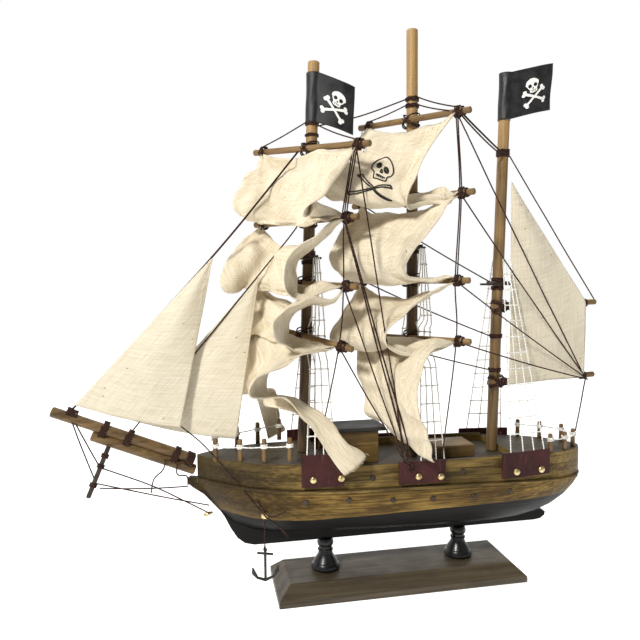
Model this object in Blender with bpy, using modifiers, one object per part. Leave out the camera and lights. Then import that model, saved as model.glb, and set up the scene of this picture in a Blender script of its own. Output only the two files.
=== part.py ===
"""Model three-masted sailing ship on a bevelled stand.

Metres in the scene, millimetres in the numbers below.  +Z is up, the bow
points towards -X, port is -Y, and the origin is the centre of the underside
of the stand's base.
"""
import math

import bmesh
import bpy
import numpy as np


MM = 0.001
GAP = 0.06                      # clearance left between neighbouring solids

# ------------------------------------------------------------ driving sizes
BASE_LENGTH = 175.0             # plinth, at the floor
BASE_WIDTH = 53.6
BASE_EDGE_HEIGHT = 4.3          # upright edge under the bevel
BASE_HEIGHT = 12.2
BASE_BEVEL = 8.4                # how far the bevel comes in
PEDESTAL_X = (-51.5, 47.0)
KEEL_BOTTOM = 34.0
KEEL_HALF = 2.2                 # half thickness of the keel board

MAST_R = 3.9
MAST_TOP = {"fore": 357.5, "main": 382.5, "mizzen": 356.4}
MAST_FOOT = {"fore": 95.55, "main": 88.0, "mizzen": 88.0}

YARD_R = 2.1
BRACE_DEG = 40.0                # yards swung round, port ends aft
# height at the mast, port arm, starboard arm, tilt in degrees (port end up)
FORE_YARDS = ((300.0, 52.0, 47.0, -4.0), (252.5, 45.0, 45.0, 0.0),
              (211.0, 46.0, 46.0, -2.5), (176.5, 44.0, 44.0, -9.0))
MAIN_YARDS = ((321.0, 46.5, 40.0, -1.0), (267.5, 49.5, 46.0, 1.5),
              (212.2, 46.6, 46.0, 0.0), (172.5, 47.5, 46.0, 0.0))
TIE_INSET = 9.0                 # sail corners are tied this far from the ends

CLOTH = 0.5                     # canvas thickness

# hull half-breadth at the wale, wale height, and rabbet height, by station
HULL_X = (-138.0, -132.0, -124.0, -114.0, -102.0, -88.0, -70.0, -48.0, -20.0, 10.0,
          40.0, 66.0, 86.0, 102.0, 115.0, 125.0, 133.0, 138.5, 141.5)
HULL_B = (2.6, 8.0, 13.6, 19.6, 24.8, 28.8, 32.0, 34.2, 35.4, 35.6,
          35.0, 33.6, 31.4, 28.2, 24.0, 19.4, 14.0, 8.6, 3.2)
WALE_Z = (83.6, 83.4, 82.8, 81.8, 80.8, 79.9, 79.2, 78.8, 78.5, 78.0,
          77.2, 75.9, 74.5, 73.3, 72.2, 71.4, 70.8, 70.4, 70.2)
KEEL_Z = (78.0, 70.0, 60.0, 50.6, 45.6, 42.8, 41.4, 40.4, 39.6, 38.8,
          38.0, 37.6, 38.4, 40.6, 44.4, 49.4, 55.4, 61.5, 66.0)
DECK_Z = 88.0                   # waist deck
FORECASTLE_Z = (98.2, 95.0)     # at the bow, at the break
FORECASTLE_X = (-138.0, -56.0)
POOP_Z = (92.4, 88.8)           # at the break, at the stern
POOP_X = (77.5, 141.5)
RAIL_Z = 93.6                   # top of the waist bulwarks
INSET = 1.3                     # upper works stand this far inside the wale

COLL = bpy.data.collections.new("sailing_ship_model")
CUTS = bpy.data.collections.new("sailing_ship_cutters")


def clear():
    for ob in list(bpy.data.objects):
        bpy.data.objects.remove(ob, do_unlink=True)
    bpy.context.scene.collection.children.link(COLL)
    bpy.context.scene.collection.children.link(CUTS)


def solid(name, verts, faces, coll=None):
    """One closed body from millimetre points."""
    me = bpy.data.meshes.new(name)
    me.from_pydata([tuple(c * MM for c in v) for v in verts], [], [tuple(f) for f in faces])
    bm = bmesh.new()
    bm.from_mesh(me)
    bmesh.ops.recalc_face_normals(bm, faces=bm.faces)
    bm.to_mesh(me)
    bm.free()
    me.update()
    ob = bpy.data.objects.new(name, me)
    (coll or COLL).objects.link(ob)
    return ob


def lerp(a, b, t):
    return a + (b - a) * t


def table(x, xs, ys):
    return float(np.interp(x, xs, ys))


def bezier(p, t):
    a, b, c, d = (np.array(q, float) for q in p)
    s = 1.0 - t
    return s * s * s * a + 3 * s * s * t * b + 3 * s * t * t * c + t * t * t * d


def loft(name, rings, coll=None):
    """Closed rings of equal count joined into a capped body."""
    n = len(rings[0])
    verts = [tuple(p) for r in rings for p in r]
    faces = []
    for i in range(len(rings) - 1):
        for j in range(n):
            k = (j + 1) % n
            faces.append((i * n + j, i * n + k, (i + 1) * n + k, (i + 1) * n + j))
    faces.append(tuple(range(n)))
    faces.append(tuple((len(rings) - 1) * n + j for j in reversed(range(n))))
    return solid(name, verts, faces, coll)


def frames(pts):
    """Tangents and a twist-free pair of normals along a path."""
    pts = [np.array(p, float) for p in pts]
    tans = []
    for i in range(len(pts)):
        a = pts[max(i - 1, 0)]
        b = pts[min(i + 1, len(pts) - 1)]
        t = b - a
        tans.append(t / np.linalg.norm(t))
    ref = np.array((0.0, 0.0, 1.0)) if abs(tans[0][2]) < 0.9 else np.array((1.0, 0.0, 0.0))
    u = np.cross(tans[0], ref)
    u /= np.linalg.norm(u)
    out = []
    for p, t in zip(pts, tans):
        u = u - t * float(u @ t)
        u /= np.linalg.norm(u)
        out.append((p, t, u, np.cross(t, u)))
    return out


def tube(name, pts, r, sides=8, coll=None):
    """A round cord or rod along a path; r is one radius or one per point."""
    fr = frames(pts)
    radii = [r] * len(fr) if np.isscalar(r) else list(r)
    rings = []
    for (p, t, u, v), rad in zip(fr, radii):
        rings.append([tuple(p + rad * (math.cos(a) * u + math.sin(a) * v))
                      for a in (2 * math.pi * k / sides for k in range(sides))])
    return loft(name, rings, coll)


def dowel(name, p0, p1, r, sides=20, chamfer=0.5, coll=None):
    """A straight turned rod with softly broken ends."""
    a, b = np.array(p0, float), np.array(p1, float)
    d = (b - a) / np.linalg.norm(b - a)
    return tube(name, [a, a + d * chamfer, b - d * chamfer, b],
                [r - chamfer, r, r, r - chamfer], sides, coll)


def lathe(name, profile, x, y, sides=32):
    rings = []
    for r, z in profile:
        rings.append([(x + r * math.cos(a), y + r * math.sin(a), z)
                      for a in (2 * math.pi * k / sides for k in range(sides))])
    return loft(name, rings)


def box(name, lo, hi, coll=None):
    (x0, y0, z0), (x1, y1, z1) = lo, hi
    rings = [[(x, y0, z0), (x, y1, z0), (x, y1, z1), (x, y0, z1)] for x in (x0, x1)]
    return loft(name, rings, coll)


def soften(ob, width, segments=2):
    """Rounds the edges of a simple body."""
    bm = bmesh.new()
    bm.from_mesh(ob.data)
    edges = [e for e in bm.edges if len(e.link_faces) == 2
             and e.calc_face_angle(0.0) > math.radians(25)]
    bmesh.ops.bevel(bm, geom=edges, offset=width * MM, segments=segments,
                    profile=0.5, affect='EDGES', clamp_overlap=True)
    bmesh.ops.recalc_face_normals(bm, faces=bm.faces)
    bm.to_mesh(ob.data)
    bm.free()
    return ob


def join(name, parts):
    """Welds overlapping bodies into one closed body."""
    base = parts[0]
    for other in parts[1:]:
        m = base.modifiers.new("weld", 'BOOLEAN')
        m.operation = 'UNION'
        m.solver = 'EXACT'
        m.object = other
        dg = bpy.context.evaluated_depsgraph_get()
        dg.update()
        me = bpy.data.meshes.new_from_object(base.evaluated_get(dg))
        base.modifiers.remove(m)
        base.data = me
        bpy.data.objects.remove(other, do_unlink=True)
    bm = bmesh.new()
    bm.from_mesh(base.data)
    bmesh.ops.remove_doubles(bm, verts=bm.verts, dist=1e-7)
    bmesh.ops.dissolve_degenerate(bm, edges=bm.edges, dist=1e-7)
    bmesh.ops.recalc_face_normals(bm, faces=bm.faces)
    bm.to_mesh(base.data)
    bm.free()
    base.name = name
    base.data.name = name
    return base


def cloth(name, grid, thick=CLOTH, out=1.0):
    """A thin closed sheet grown on one side of a grid of points."""
    g = np.array(grid, float)
    nu, nv = g.shape[:2]
    du = np.gradient(g, axis=0)
    dv = np.gradient(g, axis=1)
    nrm = np.cross(du, dv)
    ln = np.linalg.norm(nrm, axis=2, keepdims=True)
    nrm = nrm / np.maximum(ln, 1e-9)
    a, b = g - nrm * thick * 0.5 * out, g + nrm * thick * 0.5 * out
    verts = [tuple(p) for p in a.reshape(-1, 3)] + [tuple(p) for p in b.reshape(-1, 3)]
    o = nu * nv
    idx = lambda i, j: i * nv + j
    faces = []
    for i in range(nu - 1):
        for j in range(nv - 1):
            q = (idx(i, j), idx(i + 1, j), idx(i + 1, j + 1), idx(i, j + 1))
            faces.append(q)
            faces.append(tuple(o + k for k in reversed(q)))
    rim = [idx(i, 0) for i in range(nu)] + [idx(nu - 1, j) for j in range(1, nv)]
    rim += [idx(i, nv - 1) for i in range(nu - 2, -1, -1)] + [idx(0, j) for j in range(nv - 2, 0, -1)]
    for k in range(len(rim)):
        p, q = rim[k], rim[(k + 1) % len(rim)]
        faces.append((q, p, o + p, o + q))
    return solid(name, verts, faces)


# ---------------------------------------------------------------- the masts
def mast_x(which, z):
    """Centre line of each mast; the fore and mizzen masts rake aft."""
    if which == "fore":
        return -65.8 + (z - 112.0) * 0.0385
    if which == "main":
        return 12.0
    return 72.6 + (z - 84.0) * 0.0318


YARD_DIR = np.array((math.sin(math.radians(BRACE_DEG)), -math.cos(math.radians(BRACE_DEG)), 0.0))
YARD_FWD = np.array((-math.cos(math.radians(BRACE_DEG)), -math.sin(math.radians(BRACE_DEG)), 0.0))


def yard_frame(which, yard):
    z, port, starboard, tilt = yard
    c = np.array((mast_x(which, z), 0.0, z)) + YARD_FWD * (MAST_R + YARD_R + 0.25)
    t = math.radians(tilt)
    d = YARD_DIR * math.cos(t) + np.array((0.0, 0.0, math.sin(t)))
    return c, d


def yard_ends(which, yard):
    c, d = yard_frame(which, yard)
    return c + d * yard[1], c - d * yard[2]


# ----------------------------------------------------------------- the hull
def half_breadth(x):
    return table(x, HULL_X, HULL_B)


def wale_z(x):
    return table(x, HULL_X, WALE_Z)


def section(x, top, bottom, b, steps=9):
    """Half section of the lower hull, from the wale down to the keel."""
    full = 1.0 - abs((x - 5.0) / 150.0) ** 2.2
    n = lerp(1.25, 2.3, max(full, 0.0))
    m = lerp(1.15, 1.75, max(full, 0.0))
    pts = []
    for k in range(steps + 1):
        t = k / steps
        y = b * max(1.0 - t ** n, 0.0) ** (1.0 / m)
        pts.append((max(y, KEEL_HALF * 0.9), lerp(top, bottom, t)))
    return pts


def build_hull():
    rings = []
    for x, b, top, bot in zip(HULL_X, HULL_B, WALE_Z, KEEL_Z):
        half = section(x, top, bot, b)
        ring = [(x, -y, z) for y, z in half] + [(x, y, z) for y, z in reversed(half)]
        rings.append(ring)
    loft("hull_block", rings)

    # keel board with the curved stem and beak, rounded off under the stern
    outer = [(-144.6, 82.4), (-144.2, 79.6), (-140.6, 76.4), (-134.0, 71.6), (-126.5, 63.8),
             (-121.0, 55.6), (-116.6, 46.6), (-112.4, 39.8), (-107.6, 35.8), (-101.0, KEEL_BOTTOM),
             (-40.0, KEEL_BOTTOM), (30.0, KEEL_BOTTOM), (106.5, KEEL_BOTTOM), (111.2, 34.7),
             (114.6, 36.9), (115.2, 39.4), (113.2, 41.2), (110.4, 41.8)]
    inner = [(x, z - GAP) for x, z in zip(HULL_X, KEEL_Z) if -138.0 < x < 103.0]
    inner = [(-138.0 - GAP, 77.9)] + inner
    profile = outer + [(x, z) for x, z in reversed(inner)] + [(-138.0 - GAP, 83.2), (-142.6, 83.8)]
    # the beak side of the profile closes in front of the hull block
    n = len(profile)
    verts = [(x, -KEEL_HALF, z) for x, z in profile] + [(x, KEEL_HALF, z) for x, z in profile]
    faces = [tuple(range(n)), tuple(n + k for k in reversed(range(n)))]
    for k in range(n):
        j = (k + 1) % n
        faces.append((k, j, n + j, n + k))
    ob = solid("keel_board", verts, faces)
    bm = bmesh.new()
    bm.from_mesh(ob.data)
    bmesh.ops.triangulate(bm, faces=[f for f in bm.faces if len(f.verts) > 4],
                          ngon_method='EAR_CLIP')
    bm.to_mesh(ob.data)
    bm.free()

    # wale: a narrow rubbing strip along each side just under the ledge
    xs = [x for x in HULL_X if -134.0 < x < 134.0]
    for side, name in ((-1, "wale_port"), (1, "wale_starboard")):
        rings = []
        for x in xs:
            b, z = half_breadth(x) + 0.25, wale_z(x)
            rings.append([(x, side * (b - 0.1), z - 0.2), (x, side * (b + 0.9), z - 0.4),
                          (x, side * (b + 0.9), z - 2.0), (x, side * (b - 0.1 + 0.05), z - 2.3)])
        loft(name, rings)


def upper_block(name, x0, x1, top0, top1, steps=12, bottom_gap=GAP):
    """A deck block that sits on the hull, just inside its edge."""
    xs = sorted({x0, x1} | {x for x in HULL_X if x0 < x < x1})
    rings = []
    for x in xs:
        t = (x - x0) / (x1 - x0)
        b = max(half_breadth(x) - INSET, 1.2)
        zb, zt = wale_z(x) + bottom_gap, lerp(top0, top1, t)
        rings.append([(x, -b, zb), (x, b, zb), (x, b, zt - 0.6), (x, b - 0.5, zt),
                      (x, -b + 0.5, zt), (x, -b, zt - 0.6)])
    return loft(name, rings)


def build_decks():
    upper_block("forecastle_block", FORECASTLE_X[0], FORECASTLE_X[1], *FORECASTLE_Z)
    upper_block("poop_block", POOP_X[0], POOP_X[1], *POOP_Z)
    # waist deck block, with a bulwark standing on each side of it
    x0, x1 = FORECASTLE_X[1] + GAP, POOP_X[0] - GAP
    xs = sorted({x0, x1} | {x for x in HULL_X if x0 < x < x1})
    rings = []
    for x in xs:
        b = half_breadth(x) - INSET - 2.4
        rings.append([(x, -b, wale_z(x) + GAP), (x, b, wale_z(x) + GAP), (x, b, DECK_Z), (x, -b, DECK_Z)])
    loft("waist_deck_block", rings)
    for side, name in ((-1, "bulwark_port"), (1, "bulwark_starboard")):
        rings = []
        for x in xs:
            b = half_breadth(x) - INSET
            i = b - 2.4 + GAP
            z0 = wale_z(x) + GAP
            rings.append([(x, side * i, z0), (x, side * b, z0), (x, side * b, RAIL_Z - 0.4),
                          (x, side * (b - 0.4), RAIL_Z), (x, side * i, RAIL_Z)])
        loft(name, rings)
    soften(box("deckhouse", (-46.0, -10.4, DECK_Z + GAP), (-15.6, 10.4, 110.2)), 0.3, 1)
    soften(box("deckhouse_roof", (-50.5, -12.6, 110.2 + GAP), (-10.8, 12.6, 112.8)), 0.4, 1)
    soften(box("hatch_box", (27.0, -11.4, DECK_Z + GAP), (54.5, 11.4, 96.4)), 0.5, 2)


def build_stand():
    hl, hw = BASE_LENGTH / 2, BASE_WIDTH / 2
    rect = lambda i, z: [(-hl + i, -hw + i, z), (hl - i, -hw + i, z), (hl - i, hw - i, z), (-hl + i, hw - i, z)]
    ob = loft("stand_base", [rect(0.0, 0.0), rect(0.0, BASE_EDGE_HEIGHT), rect(BASE_BEVEL, BASE_HEIGHT)])
    z0, z1 = BASE_HEIGHT + GAP, KEEL_BOTTOM - GAP
    prof = [(8.6, z0), (9.6, z0 + 0.7), (10.0, z0 + 1.8), (9.6, z0 + 3.4), (8.2, z0 + 4.6),
            (8.0, z0 + 5.2), (8.3, z0 + 5.7), (7.3, z0 + 7.2), (5.8, z0 + 9.4), (4.9, z0 + 11.4),
            (4.7, z0 + 12.6), (5.3, z0 + 13.3), (5.3, z0 + 14.0), (4.5, z0 + 14.7), (4.5, z0 + 16.2),
            (5.4, z0 + 17.2), (5.7, z0 + 18.6), (5.4, z1 - 1.2), (4.9, z1)]
    for x, name in zip(PEDESTAL_X, ("pedestal_fore", "pedestal_aft")):
        lathe(name, prof, x, 0.0)


def build_spars():
    for which, name in (("fore", "foremast"), ("main", "mainmast"), ("mizzen", "mizzenmast")):
        z0, z1 = MAST_FOOT[which] + GAP, MAST_TOP[which]
        x0 = mast_x(which, z0)
        top = (mast_x(which, z1), 0.0, z1)
        a, b = np.array((x0, 0.0, z0 + 0.15)), np.array(top)
        dowel(name, a, b, MAST_R, 24, 0.5)
    for i, y in enumerate(FORE_YARDS):
        p, s = yard_ends("fore", y)
        dowel("fore_yard_%d" % (i + 1), p, s, YARD_R, 14, 0.4)
    for i, y in enumerate(MAIN_YARDS):
        p, s = yard_ends("main", y)
        dowel("main_yard_%d" % (i + 1), p, s, YARD_R, 14, 0.4)
    gy = -(MAST_R + 2.0 + 0.25)
    dowel("gaff", (mast_x("mizzen", 194.0) - 7.5, gy, 193.2), (150.7, gy, 195.4), 2.0, 14, 0.4)
    dowel("boom", (mast_x("mizzen", 139.0) - 7.5, gy, 139.4), (150.4, gy, 142.0), 2.0, 14, 0.4)
    # bowsprit below, jib-boom lashed on top of it
    dowel("bowsprit", (-139.9, 0.0, 88.2), (-204.0, 0.0, 114.8), 3.0, 18, 0.5)
    dowel("jib_boom", (-139.9, 0.0, 95.2), (-227.8, 0.0, 131.6), 3.0, 18, 0.5)
    dowel("dolphin_striker", (-193.4, -3.0 - 1.5 - 0.1, 108.2), (-206.9, -3.0 - 1.5 - 0.1, 75.8), 1.5, 12, 0.3)


# ---------------------------------------------------------------- the sails
# Each sail is tied at four corners, two on the yard above and two on the yard
# below, and swings forward between them in a loop.  A loop is a cubic curve in
# the plane square to the yards.  Its two inner poles are given as (forward,
# height) at the port edge, at SLACK across, and at the starboard edge.
FORE_LOOPS = ((((84.0, 217.0), (-8.0, 269.0)), ((6.0, 286.0), (12.0, 238.0)), ((10.0, 288.0), (48.0, 252.0))),
              (((42.0, 235.0), (70.0, 190.0)), ((9.0, 246.0), (19.0, 188.0)), ((44.0, 228.0), (40.0, 188.0))),
              (((72.0, 201.0), (67.0, 162.0)), ((11.0, 205.0), (20.0, 160.0)), ((20.0, 204.0), (44.0, 164.0))))
MAIN_LOOPS = ((((74.0, 238.0), (-6.0, 262.0)), ((36.0, 300.0), (74.0, 246.0)), ((52.0, 297.0), (112.0, 258.0))),
              (((60.0, 210.0), (21.0, 211.0)), ((40.0, 255.0), (62.0, 200.0)), ((36.0, 243.0), (90.0, 221.0))),
              (((58.0, 196.0), (60.0, 149.0)), ((44.0, 204.0), (62.0, 154.0)), ((45.0, 190.0), (84.0, 159.0))))
SLACK = {"fore": (0.6, 0.74, 0.74), "main": (0.5, 0.5, 0.5)}
SAG = {"fore": (3.0, 15.0, 12.0), "main": (4.0, 9.0, 8.0)}   # droop of each free top edge
ROACH = 7.0                     # how far a free foot swings forward of its yard
SCALLOP = {"fore": (14.0, 14.0, 12.0), "main": (18.0, 22.0, 26.0)}   # inward pull of the free port edges
FLARE = {"fore": 5.4, "main": -8.0}    # outward swing of the starboard edges
CURL = {"fore": 3.6, "main": 1.5}      # how tightly the port edges curl forward
STAND_OFF = YARD_R + 1.0        # canvas hangs just in front of its yards
CORNER = 1.2                    # corners are tied this far above or below the yard


def strip_point(which, yards, e, s, z):
    """A point e along the yards (port positive), s forward of them, at z."""
    c = np.array((mast_x(which, yards[1][0]), 0.0, 0.0)) + YARD_FWD * (MAST_R + YARD_R + 0.25)
    lean = mast_x(which, z) - mast_x(which, yards[1][0])
    p = c + YARD_DIR * e + YARD_FWD * s
    return np.array((p[0] + lean, p[1], z))


def yard_tie(which, yards, i, u):
    """Where the strip meets yard i: u = 0 at the port tie, 1 at starboard."""
    z, port, starboard, tilt = yards[i]
    e = lerp(port - TIE_INSET, -(starboard - TIE_INSET), u)
    return e, z + e * math.tan(math.radians(tilt))


def across(u, mid_u, a, b, c, curl=None):
    """Smooth value through a at 0, b at mid_u and c at 1; a larger curl
    leaves a sooner."""
    a, b, c = (np.array(q, float) for q in (a, b, c))
    if u <= mid_u:
        t = u / mid_u
        return a + (b - a) * (1.0 - (1.0 - t) ** curl if curl else t * t * (3 - 2 * t) * 0.5 + t * 0.5)
    t = (u - mid_u) / (1.0 - mid_u)
    return b + (c - b) * (t * t * (3 - 2 * t) * 0.5 + t * 0.5)


def loop_grid(which, yards, i, loop, nu, n, tail=None):
    """One sail, from its tied head on yard i to its foot; with a tail the
    canvas runs on past the last yard."""
    cols = []
    port, slack, star = loop
    for a in range(nu + 1):
        u = a / nu
        col = []
        mid = math.sin(math.pi * u)
        pull_side = SCALLOP[which][i] * (1.0 - 2.0 * u) if u < 0.5 else FLARE[which] * (2.0 * u - 1.0)
        e0, z0 = yard_tie(which, yards, i, u)
        e1, z1 = yard_tie(which, yards, i + 1, u)
        mid_u = SLACK[which][i]
        top = across(u, mid_u, port[0], slack[0], star[0], CURL[which]) + np.array((3.0 * mid, 0.0))
        bot = across(u, mid_u, port[1], slack[1], star[1], CURL[which]) + np.array((4.0 * mid, -3.0 * mid))
        head = -CORNER - SAG[which][i] * mid
        foot = (0.0, 0.0) if tail else (ROACH * mid, CORNER - 2.5 * mid)
        for k in range(n if tail else n + 1):
            t = k / n
            s, z = bezier(((STAND_OFF, z0), top, bot, (STAND_OFF, z1)), t)
            s += foot[0] * t ** 3
            z += head * (1.0 - t) ** 2 + foot[1] * t ** 3
            pull = math.sin(math.pi * t) ** 0.8 * pull_side
            col.append(strip_point(which, yards, lerp(e0, e1, t) - pull, s, z))
        if tail:
            col.extend(tail(u, n))
        cols.append(col)
    return cols


# Foot of the fore strip: the last loop turns back aft, then the cloth ends in
# a port leg outside the shrouds, an arch ahead of the mast, and a starboard
# leg.  Keys across the width: (u, end point, how far back the curve comes in).
FORE_FOOT = ((0.00, (-48.0, -41.0, 91.5), (-15.0, -0.5, 17.0)),
             (0.28, (-33.5, -39.5, 101.0), (-15.0, -0.5, 15.0)),
             (0.42, (-74.0, -36.0, 129.0), (-6.0, 0.0, 5.0)),
             (0.52, (-92.0, -20.0, 133.0), (-3.0, 0.0, 2.0)),
             (0.64, (-90.0, -2.0, 133.0), (-3.0, -1.0, 2.0)),
             (0.74, (-84.0, 26.0, 124.0), (-4.0, 0.0, 8.0)),
             (0.82, (-74.0, 36.5, 101.5), (-6.0, 0.0, 22.0)),
             (1.00, (-87.0, 35.5, 97.0), (-5.0, 1.0, 24.0)))


def fore_tail(u, n):
    yards = FORE_YARDS
    e0, z0 = yard_tie("fore", yards, 3, u)
    top = across(u, 0.72, (66.0, 169.0), (14.0, 178.0), (26.0, 182.0))
    bot = across(u, 0.72, (88.0, 142.0), (20.0, 139.0), (46.0, 144.0))
    turn = across(u, 0.72, (41.0, 143.0), (14.0, 138.0), (22.0, 138.0))
    pull_side = 14.0 * (1.0 - 2.0 * u) if u < 0.5 else 0.0
    col = []
    for k in range(n):
        t = k / n
        s, z = bezier(((STAND_OFF, z0), top, bot, turn), t)
        pull = math.sin(math.pi * t * 0.5) ** 0.8 * pull_side
        col.append(strip_point("fore", yards, e0 - pull, s, z))
    start = strip_point("fore", yards, e0 - pull_side, turn[0], turn[1])
    us = [k[0] for k in FORE_FOOT]
    end = np.array([np.interp(u, us, [k[1][c] for k in FORE_FOOT]) for c in range(3)])
    back = np.array([np.interp(u, us, [k[2][c] for k in FORE_FOOT]) for c in range(3)])
    lead = min(14.0, 0.45 * float(np.linalg.norm(end - start)))
    m = n * 3 // 4
    for k in range(m + 1):
        col.append(bezier((start, start - YARD_FWD * lead, end + back, end), k / m))
    return col


def main_tail(u, n):
    """Below the last main yard the strip draws in to a narrow port corner."""
    yards = MAIN_YARDS
    e0, z0 = yard_tie("main", yards, 3, u)
    foot_e = lerp(38.0, 2.0, u)
    foot_s = lerp(32.0, 27.0, u)
    foot_z = lerp(99.0, 111.0, u)
    col = []
    m = n + n * 3 // 4
    for k in range(m + 1):
        t = k / m
        s, z = bezier(((STAND_OFF, z0), (lerp(52.0, 50.0, u), lerp(170.0, 168.0, u)),
                       (lerp(52.0, 38.0, u), lerp(124.0, 128.0, u)), (foot_s, foot_z)), t)
        pull = 8.0 * math.sin(math.pi * min(t * 1.3, 1.0)) * (1.0 - 2.0 * u)
        e = lerp(e0, foot_e, t ** 1.3) - pull
        col.append(strip_point("main", yards, e, s, z))
    return col


def triangle_sail(name, tack, head, clew, belly, nu=10, nv=10, hollow=0.0):
    """A three-cornered sail, bellied sideways towards -Y."""
    t, h, c = (np.array(p, float) for p in (tack, head, clew))
    grid = []
    for i in range(nu + 1):
        row = []
        for j in range(nv + 1):
            a, b = i / nu, j / nv            # a: tack to head; b: luff to leech
            lo = lerp(t, c, b)
            w = 1.0 - a
            p = lerp(lo, h, a) if a < 1 else h + (c - h) * 0.012 * b
            if a == 1.0:
                p = h + (lerp(t, c, b) - h) * 0.012
            bulge = belly * math.sin(math.pi * b) * math.sin(math.pi * min(a * 1.05, 1.0)) ** 0.8
            droop = hollow * math.sin(math.pi * b) * w ** 3
            row.append(p + np.array((0.0, -bulge, -droop)))
        grid.append(row)
    return cloth(name, grid)


def spanker_grid(nu=12, nv=14):
    """Four-cornered lower part with a triangle above it, in one sheet."""
    y = -(MAST_R + 4.0 + 1.2)
    head = np.array((mast_x("mizzen", 281.0) + 4.6, y + 4.0, 281.0))
    throat = np.array((mast_x("mizzen", 193.0) + 6.0, y, 193.0))
    peak = np.array((141.0, y, 195.6))
    tackp = np.array((mast_x("mizzen", 139.0) + 7.0, y, 137.6))
    clew = np.array((140.6, y, 141.0))
    grid = []
    for j in range(nv + 1):
        v = j / nv
        row = []
        for i in range(nu + 1):
            u = i / nu
            if v < 0.6:
                w = v / 0.6
                luff, leech = lerp(head, throat, w), lerp(head, peak, w)
                if j == 0:
                    leech = head + np.array((1.2, 0.0, -1.2))
            else:
                w = (v - 0.6) / 0.4
                luff, leech = lerp(throat, tackp, w), lerp(peak, clew, w)
            p = lerp(luff, leech, u)
            swell = math.sin(math.pi * u) * (math.sin(math.pi * min(v / 0.6, 1.0)) * 3.0
                                             + math.sin(math.pi * max(v - 0.6, 0.0) / 0.4) * 3.5)
            row.append(p + np.array((0.0, -swell, 0.0)))
        grid.append(row)
    return grid


def build_sails():
    for which, yards, loops, tail in (("fore", FORE_YARDS, FORE_LOOPS, fore_tail),
                                      ("main", MAIN_YARDS, MAIN_LOOPS, main_tail)):
        for i, loop in enumerate(loops):
            cloth("%s_sail_%d" % (which, i + 1),
                  loop_grid(which, yards, i, loop, 14, 12, tail if i == 2 else None))
    cloth("spanker", spanker_grid())
    triangle_sail("outer_jib", (-213.0, -4.4, 136.0), (-125.0, -1.0, 229.0), (-148.0, -8.0, 119.0), 5.0,
                  hollow=2.0)
    triangle_sail("inner_jib", (-179.6, 4.2, 122.5), (-94.8, 2.0, 216.6), (-112.0, -5.0, 108.5), 3.0,
                  hollow=2.0)


def flag(name, which, z_top, z_bot, reach, heading, lift):
    """A flag rolled once round its mast, its free part flying aft.  heading
    is the free part's direction from +X in degrees, lift its rise at the fly."""
    r = MAST_R + 0.35 + 0.25
    h = math.radians(heading)
    # unit vectors along the fly and to its side
    f = np.array((math.cos(h), math.sin(h), 0.0))
    g = np.array((-f[1], f[0], 0.0))
    path = []
    turns = 16
    for k in range(turns + 1):
        a = math.radians(-62.0 - 296.0 * (1 - k / turns))   # round to the tangent point
        path.append((r * math.cos(a) + 0.0, r * math.sin(a)))
    fly = []
    start = path[-1]
    for k in range(1, 9):
        q = k / 8.0
        fly.append((start[0] + q * reach, start[1] - 1.8 * math.sin(math.pi * q) + 0.5 * q))
    grid = []
    for along, side in path + fly:
        row = []
        for j in range(5):
            z = lerp(z_top, z_bot, j / 4.0)
            up = lift * max(along - start[0], 0.0) / reach
            c = np.array((mast_x(which, z), 0.0, z))
            row.append(c + f * along + g * side + np.array((0.0, 0.0, up)))
        grid.append(row)
    return cloth(name, grid, 0.4)


def build_flags():
    flag("flag_fore", "fore", 350.0, 317.0, 25.0, -4.0, -8.5)
    flag("flag_mizzen", "mizzen", 357.0, 324.5, 31.0, -2.0, 7.5)


# ------------------------------------------------------- fittings and rigging
def channel(name, side, x0, x1, z0, z1):
    """A leather patch tacked on the hull side, standing above the rail."""
    rings = []
    for k in range(7):
        x = lerp(x0, x1, k / 6.0)
        b = half_breadth(x) + 1.35
        rings.append([(x, side * b, z0), (x, side * (b + 1.3), z0),
                      (x, side * (b + 1.3), z1), (x, side * b, z1)])
    return loft(name, rings)


CHANNELS = {"fore": (-73.0, -46.0, 82.0, 103.0), "main": (-10.0, 22.0, 80.6, 95.4),
            "mizzen": (63.0, 101.0, 78.6, 96.0)}


def build_channels():
    for side, word in ((-1, "port"), (1, "starboard")):
        for key, (x0, x1, z0, z1) in CHANNELS.items():
            channel("channel_%s_%s" % (word, key), side, x0, x1, z0, z1)


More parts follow.
